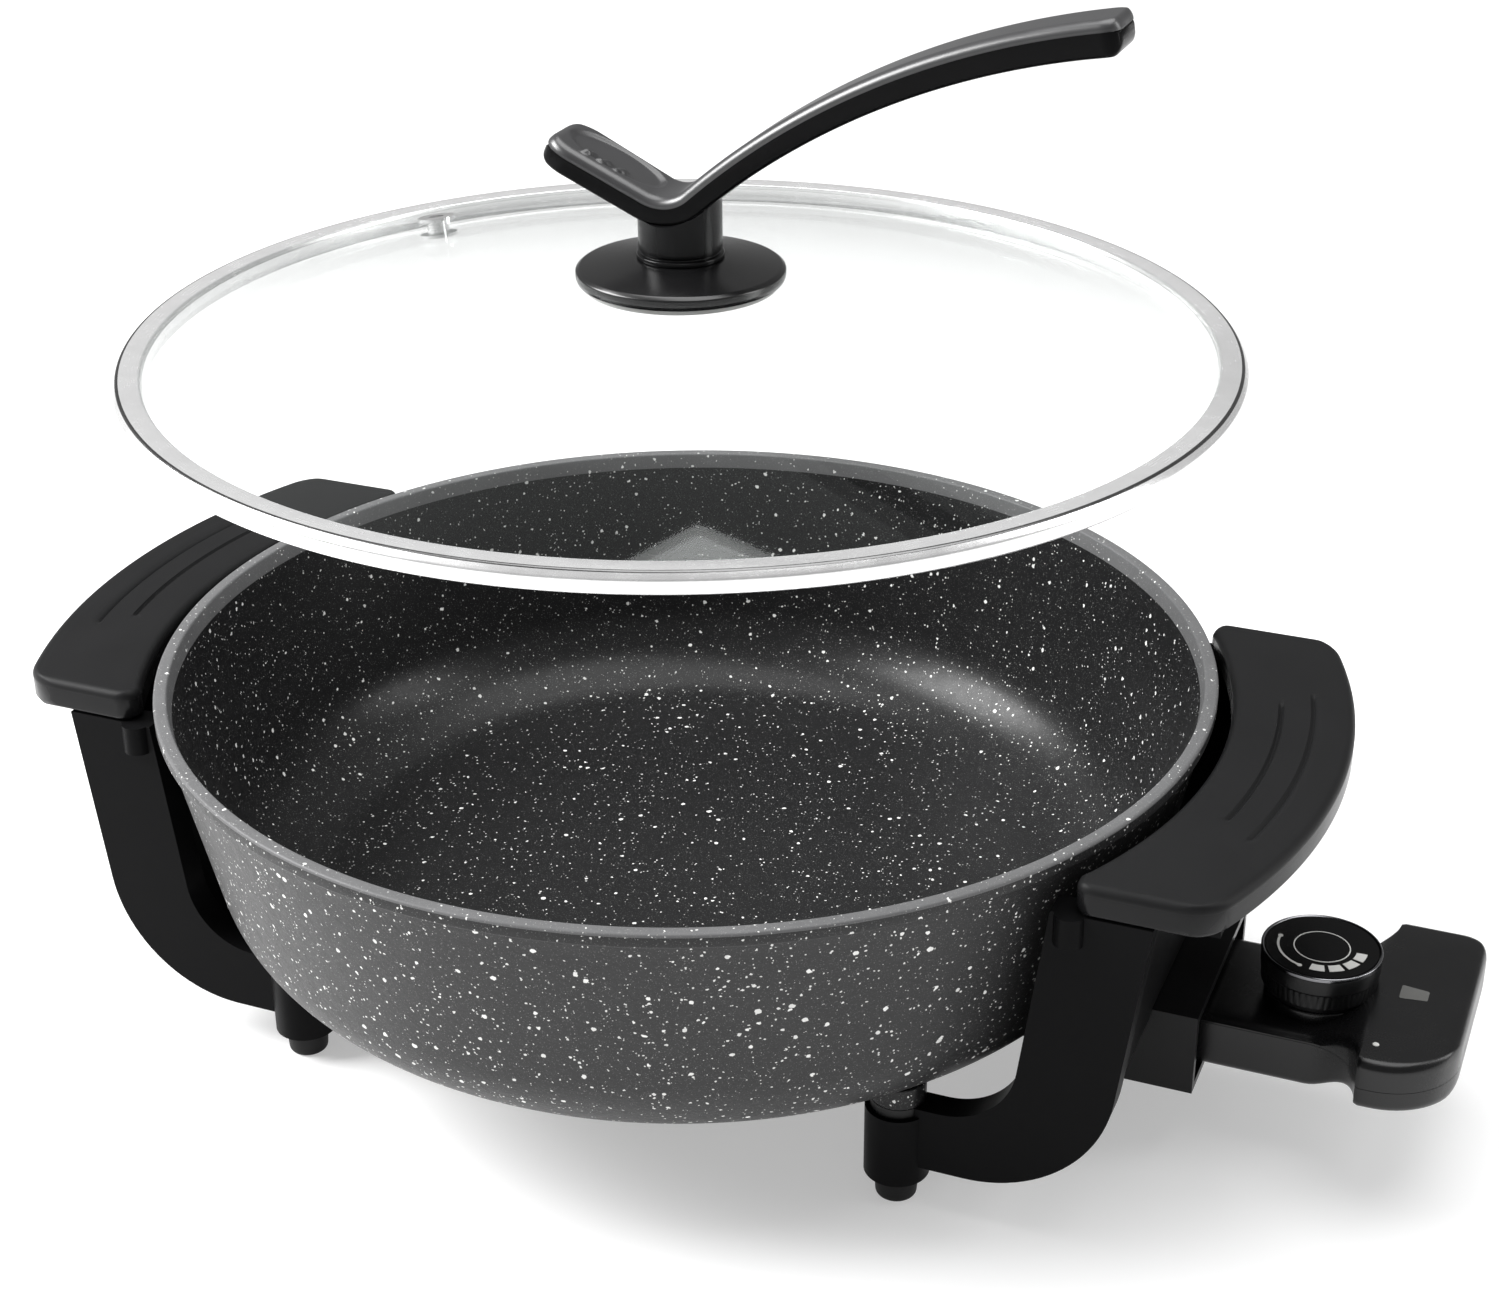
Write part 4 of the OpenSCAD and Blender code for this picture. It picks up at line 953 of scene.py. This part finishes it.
def make_probe(scene):
    s = scene.skillet_probe
    look = [finish("probe_plastic")]
    x0, x1, head_x = SHELL_LOW.x, SHELL_HIGH.x, SHELL_HIGH.x - s.head_len
    part, head_top, half, wide = TOP_LOW.z, TOP_HIGH.z, s.neck_w / 2, s.head_w / 2
    quarter = np.linspace(0, math.pi / 2, 8)
    bend = np.sin(np.linspace(0, math.pi / 2, 18))
    along = np.concatenate(
        [
            x0 + s.edge * (1 - np.cos(quarter)),
            np.linspace(x0 + 6 * MM, head_x - s.flare, 9)[:-1],
            head_x - s.flare + s.flare * bend,
            head_x + np.array([0.4, 1.2]) * MM,
            x1 - s.near_corner + s.near_corner * bend,
        ]
    )
    into = np.clip(along - (head_x - s.flare), 0, s.flare)
    flare = s.flare - np.sqrt(np.clip(s.flare**2 - into**2, 0, None))

    def reach_of(corner):
        """Half width over X: the neck, a flare's arc, then the head less its outer corner's arc."""
        past = np.clip(along - (x1 - corner), 0, corner)
        full = np.minimum(half + flare, wide - 0.8 * MM * np.clip(1 - (along - head_x) / (1.2 * MM), 0, 1))
        return full - (corner - np.sqrt(corner**2 - past**2))

    near, far = reach_of(s.near_corner)[:, None], reach_of(s.far_corner)[:, None]
    lift = np.clip((along - (head_x - s.flare)) / s.flare, 0, 1)
    lift = lift**2 * (3 - 2 * lift)
    edge = s.edge
    close = np.clip(1 - np.minimum(along - x0, x1 - along) / edge, 0, 1)
    drop = edge * (1 - np.sqrt(1 - close**2))
    roof = s.neck_top + (head_top - s.neck_top) * lift
    keel = SHELL_LOW.z + (s.head_z - SHELL_LOW.z) * lift

    def shell(flat, round_z, facing):
        """A loft along X: each section's flat side lies at the parting line, and its outer face has
        rounded edges."""
        tuck = (edge * (1 - np.sin(quarter)))[::-1]
        level = round_z[:, None] - facing * (edge * (1 - np.cos(quarter))[::-1] + drop[:, None])
        level = facing * np.maximum(facing * level, facing * flat + 0.6 * MM)
        across = np.linspace(edge - near, far - edge, 9, axis=1)[:, 1:-1, 0]
        middle = np.broadcast_to((round_z - facing * drop)[:, None], across.shape)
        middle = facing * np.maximum(facing * middle, facing * flat + 0.6 * MM)
        foot, seam = np.full((len(along), 1), flat), 0.15 * MM
        ys = np.concatenate([seam - near, tuck - near, across, (far - tuck)[:, ::-1], far - seam], 1)
        zs = np.concatenate([foot, level, middle, level[:, ::-1], foot], 1)
        return np.stack([np.broadcast_to(along[:, None], ys.shape), ys, zs], -1), False, True

    lower = [shell(part - 0.05 * MM, keel, -1)]
    piece("probe_lower", lower, "probe", look, ["probe_lower_shell"])
    seat = rounded_circle(15.4 * MM, DIAL_X, 0, 96)
    seat_block = slab(seat, s.neck_top - MM, s.neck_top + 3.5 * MM, 0.3 * MM, 0.8 * MM)
    upper = [shell(part + 0.1 * MM, roof, 1), seat_block]
    piece("probe_upper", upper, "probe", look, ["probe_upper_shell"])
    frame_x = head_x + 9.5 * MM
    window_half, wide_end, narrow_end = 4 * MM, 3.5 * MM, 2.5 * MM
    window = rounded(
        [
            (frame_x - window_half, wide_end),
            (frame_x - window_half, -wide_end),
            (frame_x + window_half, -narrow_end),
            (frame_x + window_half, narrow_end),
        ],
        0.6 * MM,
        4,
    )
    pane = slab(window, head_top - 0.5 * MM, head_top + 0.15 * MM, 0.05 * MM, 0.12 * MM)
    looks = [finish("lens_plastic")]
    piece("probe_window", [pane], "probe", looks, ["indicator_lens"])
    pip = rounded_circle(0.95 * MM, head_x + 3.4 * MM, -29 * MM, 24)
    pip_block = slab(pip, head_top - 0.4 * MM, head_top + 0.2 * MM, 0.1 * MM, 0.2 * MM)
    piece("index_pip", [pip_block], "probe", [finish("marks")])


def arc_strip(r0, r1, first, last, low, high, steps=40):
    """A flat strip between two radii and two angles about the dial's centre, with square sides."""
    angle = np.radians(np.linspace(first, last, steps))[:, None]
    r = np.array([r0, r1, r1, r0])[None]
    z = np.broadcast_to(np.array([low, low, high, high]), (steps, 4))
    return np.stack([DIAL_X + r * np.cos(angle), r * np.sin(angle), z], -1), False, True


def make_dial(scene):
    """Skirt: a turned profile whose radius also ripples round the ribs. The marks are thin raised strips."""
    s = scene.skillet_probe
    low, high = KNOB_LOW.z, KNOB_HIGH.z
    out = RING_HIGH.x - DIAL_X
    steps = s.ribs * 8
    angle = np.linspace(0, TURN, steps, endpoint=False)[:, None]
    profile = rounded(
        [
            (0, low),
            (out - 2.0 * MM, low),
            (out - 2.0 * MM, low + 1.6 * MM),
            (out - 0.7 * MM, low + 2 * MM),
            (out - 0.5 * MM, low + 6.6 * MM),
            (out - 0.25 * MM, low + 7.2 * MM),
            (out - 0.1 * MM, high),
            (0, high),
        ],
        [0, 0.3 * MM, 0.2 * MM, 0.4 * MM, 0.2 * MM, 0.2 * MM, 0.3 * MM, 0],
        3,
        closed=False,
    )
    r, z = profile[:, 0], profile[:, 1]
    starts = np.clip((z - (low + 2.1 * MM)) / (0.6 * MM), 0, 1)
    band = starts * np.clip(((low + 6.8 * MM) - z) / (0.5 * MM), 0, 1)
    ripple = 0.3 * MM * (np.abs(np.cos(angle * s.ribs / 2)) - 1) * band
    r = r + ripple
    points = np.stack([DIAL_X + r * np.cos(angle), r * np.sin(angle), np.broadcast_to(z, (steps, len(z)))], -1)
    looks = [finish("knob_plastic")]
    piece("dial_skirt", [(points, True, False)], "dial", looks, ["dial_knob"])
    top = RING_HIGH.z
    ring = rounded(
        [
            (out - 0.9 * MM, RING_LOW.z),
            (out, RING_LOW.z),
            (out, top - 0.2 * MM),
            (out - 0.4 * MM, top),
            (out - 0.9 * MM, top - 0.3 * MM),
        ],
        [0.05 * MM, 0.05 * MM, 0.3 * MM, 0.25 * MM, 0.1 * MM],
        4,
    )
    looks = [finish("ring_metal")]
    piece("dial_bright_ring", [turned(ring, 128, DIAL_X)], "dial", looks, ["dial_ring"])
    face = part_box("dial_face")[1].z
    z0, z1 = face - 0.1 * MM, face + 0.12 * MM
    circle = arc_strip(7.85 * MM, 8.2 * MM, 0, 360, z0, z1, 96)[0][:-1]
    arc_ends, arc_r = (172, 250), 12.55 * MM
    arc = arc_strip(12.2 * MM, 12.9 * MM, *arc_ends, z0, z1)
    strips = [(circle, True, True), arc]
    for middle in (-86, -60, -34, -8):
        strips.append(arc_strip(9.9 * MM, 13.0 * MM, middle - 10, middle + 10, z0, z1, 12))
    for a in np.radians(arc_ends):
        dot = rounded_circle(0.75 * MM, DIAL_X + arc_r * math.cos(a), arc_r * math.sin(a), 20)
        strips.append(slab(dot, z0, z1 + 0.02 * MM, 0.02 * MM, 0.05 * MM, 2))
    piece("dial_marks", strips, "dial", [finish("marks")], sharp=30)


def make_rest(scene):
    """Every frame node that stays gets its slot's finish on the object, so its mesh is left alone."""
    slots = {p["node"]: p["material_slot"] for p in frame["record"]["subparts"]}
    for name, node in frame["nodes"].items():
        if not node.data.materials:
            raise RuntimeError("a frame node has no material slot: " + name)
        for place in node.material_slots:
            place.link = "OBJECT"
            place.material = finish(slots[name])


def stand(thing, right, up, back, at):
    """Places an object with its own axes along the three directions."""
    axes = np.stack([right, up, back], 1).tolist()
    thing.matrix_world = Matrix([[*row, float(p)] for row, p in zip(axes, at)] + [[0, 0, 0, 1]])


def make_studio(scene):
    """A pale floor, a bright soft world, three softboxes and the camera."""
    s = scene.skillet_studio
    reach = 25.0
    mesh = bpy.data.meshes.new("floor")
    corners = [(-reach, -reach, 0), (reach, -reach, 0), (reach, reach, 0), (-reach, reach, 0)]
    mesh.from_pydata(corners, [], [(0, 1, 2, 3)])
    floor = bpy.data.objects.new("floor", mesh)
    scene.collection.objects.link(floor)
    shop = Shop("floor")
    where = shop.place()
    tone = shop.blend(shop.noise(where, 0.3), tuple(c * 0.99 for c in s.floor), rgb(s.floor))
    mesh.materials.append(
        shop.surface(
            Base_Color=tone,
            Roughness=shop.noise(where, 0.05) * 0.05 + 0.2,
            Specular_IOR_Level=0.4,
            Emission_Color=(1, 1, 1, 1),
            Emission_Strength=s.glow,
        )
    )

    world = bpy.data.worlds.new("studio")
    scene.world = world
    world.use_nodes = True
    sky = world.node_tree.nodes["Background"]
    sky.inputs["Color"].default_value = (1, 1, 1, 1)
    sky.inputs["Strength"].default_value = 0.27

    def softbox(name, at, aim, width, height, power):
        light = bpy.data.lights.new(name, "AREA")
        light.shape = "RECTANGLE"
        light.size, light.size_y, light.energy = width, height, power
        lamp = bpy.data.objects.new(name, light)
        scene.collection.objects.link(lamp)
        back = (np.array(at) - np.array(aim)) / np.linalg.norm(np.array(at) - np.array(aim))
        right = np.cross([0, 0, 1] if abs(back[2]) < 0.99 else [0, 1, 0], back)
        right /= np.linalg.norm(right)
        up = np.cross(back, right)
        stand(lamp, right, up, back, at)

    middle = (AXIS_X, 0, 0.1)
    softbox("key", (-1.5, -0.5, 1.3), middle, 1.1, 1.1, 78)
    softbox("top", (0.1, 0.3, 2.0), middle, 2.0, 1.4, 34)
    softbox("edge", (1.5, 0.5, 0.9), middle, 0.5, 1.4, 12)

    turn, tilt, roll = s.turn, s.tilt, s.roll
    back = np.array([math.sin(turn) * math.cos(tilt), -math.cos(turn) * math.cos(tilt), math.sin(tilt)])
    right = np.array([math.cos(turn), math.sin(turn), 0])
    up = np.cross(back, right)
    rolled_right = right * math.cos(roll) + up * math.sin(roll)
    rolled_up = up * math.cos(roll) - right * math.sin(roll)
    eye = np.array(s.eye) + [AXIS_X, 0, 0]
    lens = bpy.data.cameras.new("camera")
    lens.lens = s.lens
    lens.sensor_width = 36
    lens.clip_start, lens.clip_end = 0.01, 50
    camera = bpy.data.objects.new("camera", lens)
    scene.collection.objects.link(camera)
    stand(camera, rolled_right, rolled_up, back, eye)
    scene.camera = camera
    scene.view_settings.view_transform = "Standard"


# ---------------------------------------------------------------- add-on


class SKILLET_OT_finishes(bpy.types.Operator):
    """Give every frame node its finish"""

    bl_idname = "skillet.finishes"
    bl_label = "Finishes"

    def execute(self, context):
        make_rest(context.scene)
        return {"FINISHED"}


class SKILLET_OT_pan(bpy.types.Operator):
    """Build the pan with its coat"""

    bl_idname = "skillet.pan"
    bl_label = "Pan"

    def execute(self, context):
        make_pan(context.scene)
        return {"FINISHED"}


class SKILLET_OT_grips(bpy.types.Operator):
    """Build both grips"""

    bl_idname = "skillet.grips"
    bl_label = "Grips"

    def execute(self, context):
        make_grips(context.scene)
        return {"FINISHED"}


class SKILLET_OT_legs(bpy.types.Operator):
    """Build the leg frames, the socket and the feet"""

    bl_idname = "skillet.legs"
    bl_label = "Legs"

    def execute(self, context):
        make_legs(context.scene)
        return {"FINISHED"}


class SKILLET_OT_lid(bpy.types.Operator):
    """Build the glass and its band"""

    bl_idname = "skillet.lid"
    bl_label = "Lid"

    def execute(self, context):
        make_lid(context.scene)
        return {"FINISHED"}


class SKILLET_OT_handle(bpy.types.Operator):
    """Build the lid's handle, post and flange"""

    bl_idname = "skillet.handle"
    bl_label = "Handle"

    def execute(self, context):
        make_handle(context.scene)
        return {"FINISHED"}


class SKILLET_OT_probe(bpy.types.Operator):
    """Build the probe's shells"""

    bl_idname = "skillet.probe"
    bl_label = "Probe"

    def execute(self, context):
        make_probe(context.scene)
        return {"FINISHED"}


class SKILLET_OT_dial(bpy.types.Operator):
    """Build the dial and its marks"""

    bl_idname = "skillet.dial"
    bl_label = "Dial"

    def execute(self, context):
        make_dial(context.scene)
        return {"FINISHED"}


class SKILLET_OT_studio(bpy.types.Operator):
    """Add the floor, the lights and the camera"""

    bl_idname = "skillet.studio"
    bl_label = "Studio"

    def execute(self, context):
        make_studio(context.scene)
        return {"FINISHED"}


STEPS = [
    SKILLET_OT_finishes,
    SKILLET_OT_pan,
    SKILLET_OT_grips,
    SKILLET_OT_legs,
    SKILLET_OT_lid,
    SKILLET_OT_handle,
    SKILLET_OT_probe,
    SKILLET_OT_dial,
    SKILLET_OT_studio,
]
GROUPS = {
    "skillet_colours": SkilletColours,
    "skillet_pan": PanSizes,
    "skillet_grips": GripSizes,
    "skillet_lid": LidSizes,
    "skillet_handle": HandleSizes,
    "skillet_probe": ProbeSizes,
    "skillet_studio": StudioSettings,
}


class SKILLET_PT_panel(bpy.types.Panel):
    """Lists the steps in the order they run."""

    bl_label = "Electric skillet"
    bl_space_type = "VIEW_3D"
    bl_region_type = "UI"
    bl_category = "Skillet"

    def draw(self, context):
        for step in STEPS:
            self.layout.operator(step.bl_idname)


CLASSES = [*GROUPS.values(), *STEPS, SKILLET_PT_panel]


def register():
    for cls in CLASSES:
        bpy.utils.register_class(cls)
    for name, cls in GROUPS.items():
        setattr(bpy.types.Scene, name, bpy.props.PointerProperty(type=cls))


def unregister():
    for name in GROUPS:
        delattr(bpy.types.Scene, name)
    for cls in reversed(CLASSES):
        bpy.utils.unregister_class(cls)


def main():
    register()
    for step in STEPS:
        getattr(bpy.ops.skillet, step.bl_idname.split(".")[1])()


if __name__ == "__main__":
    main()
